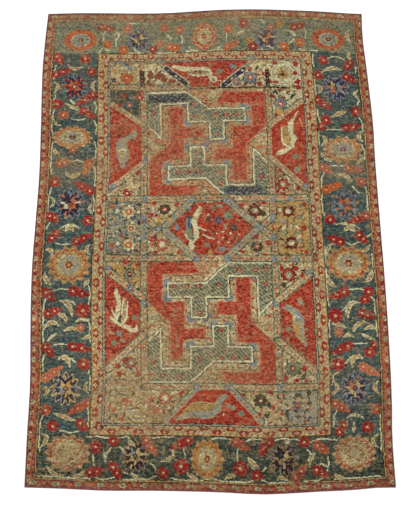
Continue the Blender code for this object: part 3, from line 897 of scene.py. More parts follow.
# Round flowers: x, y, radius and wool
BORDER_ROSETTES = [
    (27, 266.6, 3.7, "red"), (31.2, 257.2, 3.2, "red"), (9.8, 235, 3.8, "red"),
    (13.8, 227.2, 3.4, "rose"), (9.8, 182.2, 3.8, "red"), (31.2, 157.6, 3.4, "red"),
    (24.6, 113, 3.4, "red"), (30.2, 101.6, 4.6, "red"), (29, 91.4, 2.4, "salmon"),
    (24.2, 80, 3.2, "red"), (30.6, 70, 3.9, "red"), (9.8, 43.2, 3.4, "rose"), (14.2, 34.2, 3.4, "red"),
    (179, 264.6, 3.4, "red"), (174.6, 254, 3.4, "red"), (196, 229.6, 3.8, "red"),
    (177, 223, 3.5, "red"), (173.6, 218.4, 2.8, "red"), (196.4, 182.2, 3.4, "rose"),
    (176, 157.6, 3.5, "red"), (182, 112.6, 3.2, "red"), (196, 112.6, 3.2, "red"),
    (193.6, 108, 3.2, "red"), (176, 98.6, 4.5, "red"), (177.4, 88.4, 2.8, "salmon"),
    (197.4, 80.6, 2.7, "red"), (194.4, 76.4, 3.4, "red"), (176.2, 70, 4.1, "red"),
    (197, 43.6, 3.4, "rose"), (178.6, 35.6, 2.9, "red"), (176.2, 32, 2.8, "red"),
    (192.2, 33.6, 3.6, "red"), (40.6, 277, 3, "orange"), (51.2, 273.6, 3.3, "orange"),
    (53, 288.6, 3.2, "salmon"), (70, 273.6, 2.9, "red"), (74.4, 277.4, 2.4, "orange"),
    (77, 289, 3.3, "rose"), (86.6, 287, 3.1, "orange"), (118.6, 286.2, 3.3, "orange"),
    (128.6, 290, 3.6, "red"), (134.4, 273.6, 3.5, "red"), (132, 277.6, 2.2, "gold"),
    (146.4, 287.2, 2.6, "salmon"), (152.4, 290, 2.7, "gold"), (154.6, 273.6, 3.5, "orange"),
    (165.2, 277, 3.2, "orange"), (39, 23.6, 3.5, "red"), (48.8, 27, 3.2, "red"), (87, 13.4, 4.4, "red"),
    (77, 9.6, 3.5, "red"), (120.2, 13.2, 4.4, "red"), (129.2, 9.8, 3.3, "red"), (156.2, 27, 3.2, "red"),
    (136.4, 27.4, 3, "red"), (20, 203.6, 2.2, "orange"),
]
# Sprays of two flowers: x and y of the full end, x and y of the pointed end, and wool
BORDER_SPRAYS = [
    (8.6, 268.6, 12.8, 263.4, "red"), (8.6, 255.8, 17.4, 259, "red"), (32.4, 241.4, 22, 234.2, "red"),
    (26.4, 230.2, 32.8, 225.8, "red"), (12, 194.4, 19, 196, "rose"),
    (30.4, 194.6, 27.2, 187.6, "orange"), (31.6, 176.6, 22, 182, "red"), (8.4, 160.2, 14, 157.6, "red"),
    (12.6, 148.8, 8.6, 143.6, "red"), (25, 144, 33.8, 148.6, "red"), (8.6, 112.2, 13.2, 107.6, "red"),
    (26, 113, 33.4, 111.2, "red"), (10, 99.4, 17.2, 102.4, "red"), (8.8, 79.4, 13.2, 74.2, "red"),
    (25, 80, 34, 78.6, "red"), (8.8, 61.4, 18, 68, "salmon"), (33.4, 47.8, 22.4, 41.6, "rose"),
    (29.8, 36.4, 33.4, 32.4, "red"), (193.8, 261.2, 197.6, 265.8, "red"),
    (192.4, 253.6, 198, 250.6, "red"), (172.8, 236.4, 180.4, 231, "red"),
    (189, 218.2, 197.8, 219.6, "red"), (173.4, 191.6, 179, 188, "rose"),
    (189, 191.2, 197.6, 190, "rose"), (174.6, 176.8, 183.8, 180.6, "orange"),
    (197.8, 160.2, 187, 155.8, "red"), (181.4, 143.8, 174, 146.4, "red"),
    (192.8, 147.6, 197.2, 143, "red"), (182.4, 112.6, 173.6, 109.6, "red"),
    (191.4, 99.8, 198, 96.8, "red"), (182.4, 80.6, 173.4, 76.8, "red"),
    (190.4, 68, 199, 62.8, "salmon"), (173.6, 47.6, 181.4, 43, "rose"), (36, 289.6, 44.6, 287.6, "red"),
    (80.6, 275.4, 87.6, 273.8, "orange"), (118, 273.2, 125.4, 276.8, "salmon"),
    (161.8, 287.6, 168.4, 290.2, "red"), (36.4, 9.4, 43.6, 11.4, "red"), (49, 12.6, 53.4, 7, "red"),
    (67.4, 27.4, 73.2, 19.4, "rose"), (91, 27.6, 81.6, 23.4, "red"), (117.6, 27.4, 125, 24, "rose"),
    (134.6, 27.4, 131.4, 20.6, "red"), (150.6, 8, 156.8, 14.6, "rose"),
    (163.4, 25, 169.4, 21.2, "rose"), (162.6, 11.6, 168.4, 8, "red"),
]
# Leaves: x and y of the start, the middle and the end, and width
BORDER_LEAVES = [
    (16, 262.6, 20.5, 259.6, 26, 261.6, 2.4), (15, 235.6, 19.5, 232.6, 25, 230.4, 2.4),
    (17, 238, 21, 234.6, 23, 232, 1.6), (7.4, 250.4, 10, 247, 7.6, 242.6, 2.4),
    (33.8, 251, 31.6, 247.6, 33.8, 244, 2.2), (16, 189, 20, 186, 25, 188.4, 3),
    (7.2, 206, 9, 202.6, 12, 200.2, 2.4), (8, 226, 9, 222, 12.6, 220, 2),
    (14, 151, 20.4, 154.6, 27, 152, 1.7), (18, 150.4, 20.6, 153, 23, 150.2, 3),
    (7.2, 138.4, 10.4, 138.6, 11.4, 133.8, 2.6), (33.6, 142.6, 31.4, 139.2, 33.8, 136, 2.4),
    (7.6, 124.6, 8.8, 119.6, 12, 117, 2.8), (34, 121.4, 32, 118.6, 31, 115.8, 2.4),
    (16.6, 107.2, 21.6, 105.2, 24, 97.8, 3.2), (20, 107.6, 23.6, 106.8, 26, 104.6, 1.2),
    (13.6, 99.4, 19, 98.2, 21, 93.8, 2.8), (8, 90.4, 12, 94, 17, 92, 2.8),
    (19, 89, 24, 90.8, 29, 88.6, 2.6), (9.4, 83, 12.4, 85.6, 15.4, 87.6, 1.7),
    (30, 84.6, 33, 86, 34.4, 88, 2.5), (26, 94.6, 30, 96.6, 34, 94.6, 1.9),
    (16, 72.4, 20.4, 73.2, 23, 67.6, 3.2), (20.4, 73.4, 23.6, 72.6, 26.4, 70.6, 1.2),
    (14, 41.6, 20.4, 39.4, 27, 37.8, 2.6), (8, 30, 11, 27, 8, 22, 2.8), (8, 57, 10, 54, 8, 51, 2.2),
    (33, 60, 31.4, 56.6, 33.6, 53, 2), (8, 172.6, 10, 169, 8, 165.6, 2),
    (33.6, 168, 31.6, 165, 33.8, 162, 2.2), (12, 12, 16, 8, 22, 7.4, 2.4),
    (26, 7.4, 31, 8, 33, 11, 2.2), (177, 256, 183.6, 259.4, 190, 258, 2.8),
    (182, 266.4, 188, 267.8, 193, 264.6, 1), (180, 225, 186, 228, 190.4, 230, 3.2),
    (181, 186.4, 187, 186.2, 190, 182, 2.6), (178, 154.4, 187, 155, 194, 151.4, 1.6),
    (184, 150.6, 187.6, 152.4, 191, 149.8, 3.4), (173, 123, 174, 118.6, 178, 115.8, 3.2),
    (199, 126.6, 197.4, 121.4, 194, 118.6, 3.2), (173, 135, 174, 139.6, 176.6, 142.4, 2.4),
    (199, 141.6, 196, 138.4, 193.6, 139.4, 2.6), (190, 106, 184.4, 104.6, 183, 96.4, 3.4),
    (179.6, 101, 185, 105, 191.4, 106, 0.9), (174, 93.4, 177, 93.6, 181.6, 91.4, 2.6),
    (185.6, 88.6, 188.6, 93, 194, 94.2, 2.8), (192, 90.2, 196, 91.2, 199.6, 89.6, 2.6),
    (180, 85.4, 183, 87.2, 186.2, 85.4, 2), (190, 87.4, 193.4, 85.4, 198, 83.2, 1.8),
    (180, 70, 186, 74, 191, 72.6, 2.8), (184, 67.6, 184.6, 71, 187, 73.6, 2.2),
    (180, 39.4, 185, 41, 190.4, 38.4, 1.8), (184.4, 37.6, 184.4, 34, 184.4, 31, 2),
    (173.4, 212.6, 176, 209, 173, 205.6, 2.4), (199, 216, 196.6, 212.6, 199, 209, 2.6),
    (173, 201.6, 175, 197.6, 179, 195.4, 2.4), (198.6, 200, 197, 196.6, 194, 194.6, 2.2),
    (173, 247, 175.4, 244.6, 173.6, 241, 2.4), (199, 244.6, 196.6, 241.6, 199, 238, 2.2),
    (198, 288, 195.6, 283.6, 198.4, 278.6, 2.6), (197.6, 272, 195.4, 268.6, 198, 265, 2),
    (173, 60.6, 175, 57, 173, 53, 2.4), (198.8, 60, 196.6, 56, 199, 52, 2.2),
    (198, 29.6, 195, 26, 198, 22, 2.4), (172, 9, 175, 7.4, 179, 6.4, 2.2),
    (44.6, 284.8, 47.4, 284.6, 46.4, 280, 1.6), (77, 284.4, 80.4, 282.6, 81.6, 279, 1.8),
    (124, 280, 126.2, 283.4, 129.4, 284.2, 1.8), (157.4, 285, 161.4, 283, 161.8, 279.6, 1.9),
    (57, 275.6, 60, 272, 64, 271.6, 1.4), (142, 272.6, 145, 273.6, 147.6, 270.9, 1.6),
    (163.6, 272.8, 166, 271.4, 169, 270.8, 1.5), (110, 271.2, 112.4, 273, 114, 274.8, 1.5),
    (93, 274.6, 95.6, 272, 98, 271, 1.4), (38.6, 274, 41, 272.6, 43, 273.6, 1.4),
    (53, 293, 56.6, 292.4, 61, 292.8, 1.2), (138, 292.6, 141.4, 291, 143, 289.8, 1.4),
    (57, 29.2, 58.6, 26, 61, 24, 2.4), (59, 9.6, 61.6, 7.6, 65, 6.6, 2.4),
    (90.4, 9.8, 93, 8, 96.4, 6.6, 2.2), (75, 15.6, 79.6, 17, 82.4, 20, 2.4),
    (80.6, 23, 82.6, 21, 81.8, 17.6, 1.4), (111, 6.8, 114, 8.8, 117.2, 9.2, 2.2),
    (124.6, 19.8, 126.6, 16.8, 130, 14.8, 2.8), (140, 7, 143, 8.4, 146.4, 6.8, 2.2),
    (158.6, 13.6, 159.8, 18.6, 162, 20.2, 2.8), (43.4, 22, 44.4, 18.4, 44.8, 14.6, 1.8),
    (44.8, 18, 46, 21, 48, 23.6, 1.4), (37.6, 20, 38, 16, 38.4, 12.6, 1.6),
    (145, 29, 146.6, 27.6, 148.4, 28.8, 1.8), (164.6, 15.2, 167, 14, 169, 13, 1.4),
    (52, 24.6, 54, 22.6, 55.6, 20, 1.4),
]
VINE_WIDTH = 0.72
BORDER_VINES = [
    [(8.6, 262), (7.2, 257), (7.2, 252)], [(9, 241), (7.4, 238)],
    [(8.4, 231), (7, 226), (6.9, 217), (8, 214)], [(8, 209), (6.9, 204), (6.9, 190), (8, 187)],
    [(8, 178), (6.9, 174), (6.9, 163)], [(8.4, 155.6), (7, 152)],
    [(8.6, 108.4), (7.4, 103), (7.2, 88), (7.8, 82.4)], [(8, 75), (7, 71), (7.4, 65)],
    [(8.6, 40.6), (7, 35), (6.9, 24), (7.6, 20)], [(33.2, 237), (34.4, 233), (33.6, 229)],
    [(33.2, 223.4), (34.5, 220), (34.2, 214)], [(33.4, 209), (34.5, 205), (34.4, 198.4)],
    [(33.6, 192), (34.5, 188), (34.3, 180)], [(33.4, 174), (34.4, 171), (34.4, 163)],
    [(33.4, 117), (34.5, 113), (33.6, 105.6)], [(33.4, 96.6), (34.5, 92), (34.4, 83)],
    [(33.2, 45), (34.3, 41), (34.3, 34.4)], [(33.6, 66), (34.4, 62), (34.2, 55)],
    [(172.8, 269), (171.9, 264), (172.6, 260)], [(171.9, 251), (172, 240)],
    [(172, 230), (172.2, 225), (173.4, 221.6)], [(172, 215), (171.9, 206)],
    [(174.8, 188.6), (172.4, 184.6), (172, 178)], [(172, 174), (171.9, 163), (173, 160)],
    [(172.2, 141), (172, 133), (174, 130)], [(172, 127), (172, 112), (172.6, 104)],
    [(172.2, 96), (172, 86)], [(176.4, 66), (173.4, 64), (172.2, 58)],
    [(175, 44), (173.2, 41), (173, 34.6)], [(199.4, 261), (198.4, 257)], [(197, 234), (198.8, 237)],
    [(197.6, 225.6), (199.3, 222), (199.3, 216)], [(198, 207), (199.6, 203), (199.4, 197)],
    [(198.6, 179), (199.4, 175), (199.2, 164)], [(197, 110), (199, 107), (199.2, 99)],
    [(199.3, 95), (199.4, 86)], [(199.4, 136), (199.6, 128)], [(199.3, 40), (199.6, 20)],
    [(200, 148.6), (196, 146)], [(19.4, 224.4), (23, 223.8), (27.6, 224.6)],
    [(19.6, 195.8), (23.4, 196.8), (27.6, 195.2)], [(13, 142.6), (17, 142), (21.6, 142.4)],
    [(13, 113.2), (17, 114.6), (22, 114)], [(13.6, 80.6), (17, 81.4), (20.8, 81)],
    [(18, 32), (23.4, 30.8), (29, 31.8)], [(177, 216.8), (186.4, 216.8)],
    [(179.4, 192.4), (187.6, 192.6)], [(185, 143.4), (188, 141.6), (191, 142.4), (194, 144.4)],
    [(184.8, 113.8), (189, 114.8), (193.2, 113.8)], [(184.6, 82), (193.4, 81.6)],
    [(191, 178.8), (194.4, 175)], [(38.4, 286.4), (37.5, 283), (37.8, 279.4)],
    [(45.2, 284.4), (46, 281), (46, 276)], [(88.4, 283), (88.9, 280), (88.6, 277)],
    [(117.6, 283), (117.6, 276)], [(161.6, 279.6), (159, 276.6), (157.4, 275.6)],
    [(168, 287), (169.2, 284), (168.6, 280)], [(54, 271), (64, 271)], [(73, 270.9), (84, 270.9)],
    [(91, 271.2), (99, 271.4)], [(106, 271.2), (115, 271)], [(137, 271), (142, 271.2)],
    [(170, 271), (176, 271.4)], [(35, 270), (37, 274)], [(39.4, 6.9), (43, 5.9), (49.6, 7.2)],
    [(55, 6.1), (68, 6), (73, 7.8)], [(81, 7.2), (86, 5.9), (98, 5.9), (102.6, 7)],
    [(105, 7), (109, 5.9), (122, 5.9), (127, 7)], [(131.6, 7.8), (135.6, 5.9), (150, 5.9)],
    [(155, 6.1), (163, 5.9), (165.4, 7)], [(7, 6.6), (22, 6), (36, 6.2)], [(172, 6.4), (198, 6.2)],
    [(34.4, 28.8), (38, 29.4), (46.6, 28.6)], [(51.6, 28.8), (56.4, 29.5)],
    [(71, 28.8), (75, 29.5), (82, 29.2)], [(104, 28.6), (110, 29.5), (116, 28.4)],
    [(123.6, 28.2), (127, 29.4), (134, 29.4)], [(139.6, 28.8), (146, 29.5), (153, 28.4)],
    [(160, 27.2), (166, 28.7), (174.6, 27.4)], [(88.4, 23.4), (89.2, 20), (88.8, 16.4)],
    [(118.8, 24), (118.4, 17)], [(169.4, 18.6), (169.4, 14), (168, 10.4)],
    [(157.6, 23), (159.6, 21), (159.8, 16)], [(73, 11.4), (71, 14), (69, 15)], [(54.8, 10), (57, 9)],
    [(132.4, 12), (134.4, 14.2)], [(126, 14.6), (128.4, 12.6)],
]


def draw_main_border(chart):
    draw_border_ground(chart)
    for points in BORDER_VINES:
        chart.line(points, VINE_WIDTH, "ivory")
    for flower in JAGGED_PALMETTES:
        jagged_palmette(chart, *flower)
    for flower in SCALLOPED_PALMETTES:
        scalloped_palmette(chart, *flower)
    for x_a, y_a, x_m, y_m, x_b, y_b, width in BORDER_LEAVES:
        leaf(chart, (x_a, y_a), (x_m, y_m), (x_b, y_b), width)
    for places_and_wool in BORDER_SPRAYS:
        spray(chart, *places_and_wool)
    for flower in BORDER_ROSETTES:
        rosette(chart, *flower)


SIDE_PITCH, END_PITCH = 6.1, 12.5  # from blossom to blossom of the outer guard
SIDE_BLOSSOMS, END_BLOSSOMS = 48, 17
# Its inner lines, each box drawn over the last: the left, right, near and far sides and the wool
OUTER_LINES = [
    (5.0, 201.3, 4.4, 295.2, "umber"), (5.3, 201.0, 4.7, 294.9, "gold_ground"),
    (6.0, 200.3, 5.4, 294.2, "umber"),
]


def draw_outer_guard(chart):
    """The brick stripe at the very edge, with pale blossoms between red cartouches."""
    chart.rectangle(0, WIDTH, 0, LENGTH, "guard_ground")
    for line in OUTER_LINES:
        chart.rectangle(*line)
    for number in range(SIDE_BLOSSOMS):
        y = 5.0 + number * SIDE_PITCH
        for x, inward in ((1.9, 1), (204.2, -1)):
            wool = "buff_ground" if number % 2 else "tan_ground"
            chart.lobes(x, y, 1.3, 1.8, wool, 6, 0.2)
            chart.lobes(x, y, 0.5, 0.6, "sage" if number % 2 else "rose")
            beside = x + 1.5 * inward
            chart.line([(beside, y + 1.2), (beside, y + SIDE_PITCH - 1.2)], 1.3, "bloom_rose")
            chart.lobes(x, y + SIDE_PITCH / 2, 0.7, 0.7, "crimson")
    for number in range(END_BLOSSOMS):
        x = 4.6 + number * END_PITCH
        for y in (2.7, 297.3):
            chart.lobes(x, y, 2.6, 1.2, "buff_ground", 6, 0.2)
            chart.lobes(x, y, 1.1, 0.6, "sage")
            chart.line([(x + 3.6, y), (x + 8.9, y)], 1.7, "bloom_rose")
            chart.lobes(x + 6.2, y, 1.1, 0.9, "tan", 4, 0.2)


def draw_carpet():
    chart = Chart()
    draw_outer_guard(chart)
    draw_main_border(chart)
    draw_minor_border(chart)
    draw_field(chart)
    return chart


# Age: fading, wear and the unevenness of hand-dyed wool, and a darkening towards the near end and the right
# side

BARE_WOOL = (160, 134, 98)
# Where feet and light have taken the colour: x, y, reach across, reach up, strength
FADED_SPOTS = [
    (103, 294, 120, 20, 0.26), (50, 255, 26, 16, 0.12), (52, 48, 28, 20, 0.2), (80, 222, 30, 30, 0.14),
    (100, 188, 44, 16, 0.14), (74, 76, 18, 24, 0.16), (104, 62, 50, 10, 0.14), (20, 190, 22, 10, 0.24),
    (186, 192, 22, 12, 0.24), (112, 76, 20, 8, 0.2), (150, 46, 20, 16, 0.1),
]
DYE_DEPTH = 0.69  # the share of the charted lightness that the wool itself has
OVERALL_WEAR, MOST_WEAR = 0.07, 0.85
STREAK_WEAR = 0.14  # along the rows of knots
KNOT_TONE, YARN_TONE, LOT_TONE, ROW_TONE = 0.07, 0.34, 0.22, 0.14  # unevenness, from fine to broad
# Darker towards the near end: how much darker, and the reach in centimetres
NEAR_END_DARKENING, NEAR_END_REACH = 0.20, 38
# Darker towards the right side: how much darker, and the reach in centimetres
RIGHT_SIDE_DARKENING, RIGHT_SIDE_REACH = 0.05, 34
HUE_SPREAD = 0.03


def linear(colour):
    share = np.asarray(colour, float) / 255
    return np.where(share <= 0.04045, share / 12.92, ((share + 0.055) / 1.055) ** 2.4)


def wear_of(chart):
    """How far each knot has lost its colour, from 0 to 1."""
    shape = chart.wool.shape
    x, y = chart.columns[None, :], chart.rows[:, None]
    wear = OVERALL_WEAR * np.ones(shape)
    for spot_x, spot_y, across, up, strength in FADED_SPOTS:
        distance = ((x - spot_x) / across) ** 2 + ((y - spot_y) / up) ** 2
        wear += strength * np.exp(-distance)
    patches = cloud(shape, 46, 24, 21) * 0.6 + cloud(shape, 15, 9, 22) * 0.4
    streaks = cloud(shape, 26, 1.5, 23)
    bare = np.clip(cloud(shape, 3.2, 1.8, 24) + 0.35 * patches - 0.86, 0.0, 1.0) * 3.0
    wear = wear * (0.55 + 0.9 * patches) + STREAK_WEAR * (streaks - 0.5) + bare
    return np.clip(wear, 0.0, MOST_WEAR)


def knot_colours(chart):
    """The colour of every knot as linear light, and the wear that also lowers the pile."""
    shape = chart.wool.shape
    palette = np.array([linear(WOOLS[name]) for name in WOOL_NAMES])
    colours = palette[chart.wool]
    wear = wear_of(chart)
    bare = linear(BARE_WOOL)
    colours = colours + (bare - colours) * wear[..., None]
    dice = np.random.default_rng(31)
    tone = 1.0 + KNOT_TONE * dice.normal(0.0, 1.0, shape)
    tone += YARN_TONE * (cloud(shape, 2.8, 1.6, 32) - 0.5)
    tone += LOT_TONE * (cloud(shape, 60, 14, 33) - 0.5) + ROW_TONE * (cloud(shape, 30, 1.3, 34) - 0.5)
    # Darker towards the near end of the carpet
    tone -= NEAR_END_DARKENING * np.exp(-((chart.rows[:, None] / NEAR_END_REACH) ** 2))
    # Darker towards the right side of the carpet
    tone -= RIGHT_SIDE_DARKENING * np.exp(-(((WIDTH - chart.columns[None, :]) / RIGHT_SIDE_REACH) ** 2))
    dirt = np.clip(cloud(shape, 2.6, 2.0, 35) - 0.70, 0.0, 1.0) * 2.0
    hue = dice.normal(0.0, HUE_SPREAD, shape + (3,))
    colours = DYE_DEPTH * colours * np.clip(tone - dirt, 0.3, 1.6)[..., None] * (1 + hue)
    return np.clip(colours, 0.0, 1.0), wear


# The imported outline, and the chart laid on it

WALL_LOW, WALL_HIGH = 0.0012, 0.0050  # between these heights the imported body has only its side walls


def vertex_places(piece):
    places = np.zeros(len(piece.data.vertices) * 3)
    piece.data.vertices.foreach_get("co", places)
    return places.reshape(-1, 3)


def packed_outline():
    """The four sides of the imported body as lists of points, each from its near or left end."""
    places = vertex_places(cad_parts["carpet"])
    walls = places[(places[:, 2] > WALL_LOW) & (places[:, 2] < WALL_HIGH)][:, :2]
    walls = np.unique(np.round(walls, 5), axis=0)
    around = np.argsort(np.arctan2(walls[:, 1], walls[:, 0]))
    loop = walls[around]
    low, high = loop.min(axis=0), loop.max(axis=0)
    corners = []
    for corner in ((low[0], low[1]), (high[0], low[1]), (high[0], high[1]), (low[0], high[1])):
        corners.append(int(np.argmin(np.hypot(loop[:, 0] - corner[0], loop[:, 1] - corner[1]))))
    stretches = []
    for start, end in zip(corners, corners[1:] + corners[:1]):
        count = (end - start) % len(loop)
        stretches.append(loop[[(start + step) % len(loop) for step in range(count + 1)]])
    near, right, far, left = stretches
    return {"near": near, "right": right, "far": far[::-1], "left": left[::-1]}


class Ground:
    """Finds the place on the floor of any share of the way across and up the carpet."""

    def __init__(self, sides):
        self.sides = sides
        self.corners = {
            (0, 0): sides["near"][0], (1, 0): sides["near"][-1],
            (0, 1): sides["far"][0], (1, 1): sides["far"][-1],
        }

    def side(self, name, share):
        points = self.sides[name]
        axis = 0 if name in ("near", "far") else 1
        travel = (points[:, axis] - points[0, axis]) / (points[-1, axis] - points[0, axis])
        return np.stack([np.interp(share, travel, values) for values in points.T], axis=-1)

    def place(self, across, up):
        """The places of a grid of shares, as an array of rows, columns and x and y."""
        near, far = self.side("near", across)[None], self.side("far", across)[None]
        left, right = self.side("left", up)[:, None], self.side("right", up)[:, None]
        u, v = across[None, :, None], up[:, None, None]
        flat = 0
        for (right_side, far_side), corner in self.corners.items():
            flat = flat + (u if right_side else 1 - u) * (v if far_side else 1 - v) * corner
        return near * (1 - v) + far * v + left * (1 - u) + right * u - flat


# The pieces, in metres

OWN_MAP, KNOT_COLOUR = "OFBake", "wool_colour"
FOUNDATION_TOP = 0.0022
PILE_TOP = 0.0059
TUFT_SPREAD = 0.00010
WORN_DEPTH = 0.0009  # how much lower the pile is where it is bare
EDGE_DROP = 0.0004
STRIPS = 4
UNDERSIDE_STEP = 3  # knots to each cell of the underside
WRAP_PITCH = 0.0042
WRAP_SIDES = 9


def new_grid(name, columns, rows):
    """A primitive grid with this many cells and no map yet."""
    bpy.ops.object.select_all(action="DESELECT")
    bpy.ops.mesh.primitive_grid_add(x_subdivisions=columns, y_subdivisions=rows, size=1.0)
    piece = bpy.context.object
    piece.name = name
    piece.data.name = name
    for layer in list(piece.data.uv_layers):
        piece.data.uv_layers.remove(layer)
    return piece


def vertex_shares(piece, columns, rows):
    """Each vertex's column and row, worked out from its place in the primitive grid."""
    places = vertex_places(piece)
    column = np.rint((places[:, 0] + 0.5) * columns).astype(int)
    row = np.rint((places[:, 1] + 0.5) * rows).astype(int)
    return column, row


def add_flat_map(piece, across, up):
    """The piece's own UV map, from each vertex's share across and up."""
    loops = np.zeros(len(piece.data.loops), int)
    piece.data.loops.foreach_get("vertex_index", loops)
    layer = piece.data.uv_layers.new(name=OWN_MAP)
    layer.data.foreach_set("uv", np.stack([across[loops], up[loops]], axis=-1).ravel())


def close_flat(piece, height):
    """Gives an open sheet side walls that end at this height, and one flat face to close them."""
    bpy.ops.object.select_all(action="DESELECT")
    piece.select_set(True)
    bpy.context.view_layer.objects.active = piece
    bpy.ops.object.mode_set(mode="EDIT")
    bpy.ops.mesh.select_mode(type="EDGE")
    bpy.ops.mesh.select_all(action="DESELECT")
    bpy.ops.mesh.select_non_manifold()
    bpy.ops.mesh.extrude_edges_move(TRANSFORM_OT_translate={"value": (0, 0, 0)})
    bpy.ops.transform.resize(value=(1, 1, 0), center_override=(0, 0, height))
    bpy.ops.mesh.edge_face_add()
    bpy.ops.object.mode_set(mode="OBJECT")


def face_cells(piece, columns, rows, column, row):
    """The column and row of each face's lower left corner."""
    count = len(piece.data.polygons)
    starts, loops = np.zeros(count, int), np.zeros(len(piece.data.loops), int)
    piece.data.polygons.foreach_get("loop_start", starts)
    piece.data.loops.foreach_get("vertex_index", loops)
    corners = loops[starts[:, None] + np.arange(4)[None, :]]
    left = np.clip(column[corners].min(axis=1), 0, columns - 1)
    low = np.clip(row[corners].min(axis=1), 0, rows - 1)
    return left, low


def paint_faces(piece, colours):
    """Gives each face its knot's colour."""
    values = np.ones((len(colours), 4), np.float32)
    values[:, :3] = colours
    attribute = piece.data.attributes.new(KNOT_COLOUR, "FLOAT_COLOR", "FACE")
    attribute.data.foreach_set("color", values.ravel())


def lay_knots(piece, columns, rows, plan, heights, colours):
    """Lays a grid out, closes it at the foundation's top, and gives it its map and its colours."""
    column, row = vertex_shares(piece, columns, rows)
    places = np.column_stack([plan[row, column], heights[row, column]])
    piece.data.vertices.foreach_set("co", places.ravel())
    close_flat(piece, FOUNDATION_TOP)
    rim = matching_rim(vertex_places(piece), len(column))
    column, row = (np.concatenate([shares, shares[rim]]) for shares in (column, row))
    add_flat_map(piece, column / columns, row / rows)
    left, low = face_cells(piece, columns, rows, column, row)
    paint_faces(piece, colours[low, left])


def pile_strip(number, ground, colours, wear, material):
    """A lengthways quarter of the pile, a quad for each knot, closed down to the foundation."""
    per_strip = COLUMNS // STRIPS
    first = number * per_strip
    piece = new_grid(f"pile_strip_{number + 1}", per_strip, ROWS)
    across = np.arange(first, first + per_strip + 1) / COLUMNS
    up = np.arange(ROWS + 1) / ROWS
    dice = np.random.default_rng(41)
    tufts = dice.normal(0.0, TUFT_SPREAD, (ROWS + 1, COLUMNS + 1))
    worn = np.pad(wear, ((0, 1), (0, 1)), mode="edge")
    heights = PILE_TOP + tufts - WORN_DEPTH * worn
    heights[[0, -1], :] = PILE_TOP - EDGE_DROP
    heights[:, [0, -1]] = PILE_TOP - EDGE_DROP
    own = slice(first, first + per_strip + 1)
    lay_knots(piece, per_strip, ROWS, ground.place(across, up), heights[:, own], colours[:, own])
    dress(piece, material)
    return piece


def matching_rim(places, count):
    """For each vertex past the first count, the one of those that stands at the same place in plan."""
    keys = {(round(x, 6), round(y, 6)): index for index, (x, y, _) in enumerate(places[:count])}
    return np.array([keys[(round(x, 6), round(y, 6))] for x, y, _ in places[count:]])


def dress(piece, material):
    """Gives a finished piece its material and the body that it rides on."""
    piece.data.materials.clear()
    piece.data.materials.append(material)
    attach(piece, "root")


def foundation(ground, colours, material):
    """The woven ground below the pile, showing the pattern in reverse on its underside."""
    columns, rows = COLUMNS // UNDERSIDE_STEP, ROWS // UNDERSIDE_STEP
    piece = new_grid("woven_foundation", columns, rows)
    piece.data.flip_normals()
    plan = ground.place(np.arange(columns + 1) / columns, np.arange(rows + 1) / rows)
    underside = np.zeros((rows + 1, columns + 1))
    lay_knots(piece, columns, rows, plan, underside, colours[::UNDERSIDE_STEP, ::UNDERSIDE_STEP])
    dress(piece, material)
    return piece


# The overcast edges

BINDING_WIDTH = 0.0085
BINDING_HEIGHT = 0.0072
BINDING_GAP = 0.0003
WRAP_BULGE = 0.10
WRAP_SLANT = 0.35
WRAP_LOWEST = 0.0002


def wrap_route(points, outward, reach=0.0):
    """The middle line of an overcast edge, a half width and a hair outside the body's edge."""
    along = points[-1] - points[0]
    along = along / np.hypot(*along)
    shift = outward * (BINDING_WIDTH / 2 + BINDING_GAP)
    route = points + shift
    route[0] = route[0] - along * reach
    route[-1] = route[-1] + along * reach
    return route


def overcast_edge(name, route, material):
    """One turn of wool over the edge, repeated along a line that follows the edge."""
    steps = np.hypot(*np.diff(route, axis=0).T)
    length = float(steps.sum())
    turns = round(length / WRAP_PITCH)
    pitch = length / turns
    bpy.ops.object.select_all(action="DESELECT")
    bpy.ops.mesh.primitive_cylinder_add(
        vertices=WRAP_SIDES, radius=0.5, depth=pitch, end_fill_type="NOTHING",
        location=(pitch / 2, 0, 0), rotation=(math.pi / 2, 0, math.pi / 2),
    )
    wrap = bpy.context.object
    wrap.name = name
    wrap.data.name = name
    bpy.ops.object.transform_apply(location=True, rotation=True, scale=True)
    bpy.ops.object.mode_set(mode="EDIT")
    bpy.ops.mesh.select_all(action="SELECT")
    bpy.ops.mesh.bisect(plane_co=(pitch / 2, 0, 0), plane_no=(1, 0, 0))
    bpy.ops.transform.resize(value=(1, 1 + WRAP_BULGE, 1 + WRAP_BULGE), center_override=(pitch / 2, 0, 0))
    bpy.ops.object.mode_set(mode="OBJECT")
    half_high = BINDING_HEIGHT / 2 / (1 + WRAP_BULGE)
    half_wide = BINDING_WIDTH / 2 / (1 + WRAP_BULGE)
    for vertex in wrap.data.vertices:
        x, y, z = vertex.co
        height = max(2 * half_high * z + BINDING_HEIGHT / 2, WRAP_LOWEST)
        vertex.co = (x + WRAP_SLANT * y * pitch, 2 * half_wide * y, height)
    repeat = wrap.modifiers.new("turns", "ARRAY")
    repeat.count = turns
    repeat.use_relative_offset = False
    repeat.use_constant_offset = True
    repeat.constant_offset_displace = (pitch, 0, 0)
    repeat.use_merge_vertices = True
    repeat.merge_threshold = 0.00005
    bpy.ops.object.modifier_apply(modifier="turns")
    follow_route(wrap, route, steps)
    bpy.ops.object.mode_set(mode="EDIT")
    bpy.ops.mesh.select_mode(type="EDGE")
    bpy.ops.mesh.select_all(action="DESELECT")
    bpy.ops.mesh.select_non_manifold()
    bpy.ops.mesh.edge_face_add()
    bpy.ops.mesh.select_all(action="SELECT")
    bpy.ops.mesh.normals_make_consistent(inside=False)
    bpy.ops.object.mode_set(mode="OBJECT")
    dress(wrap, material)
    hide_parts(name.replace("overcast_", ""))
    return wrap


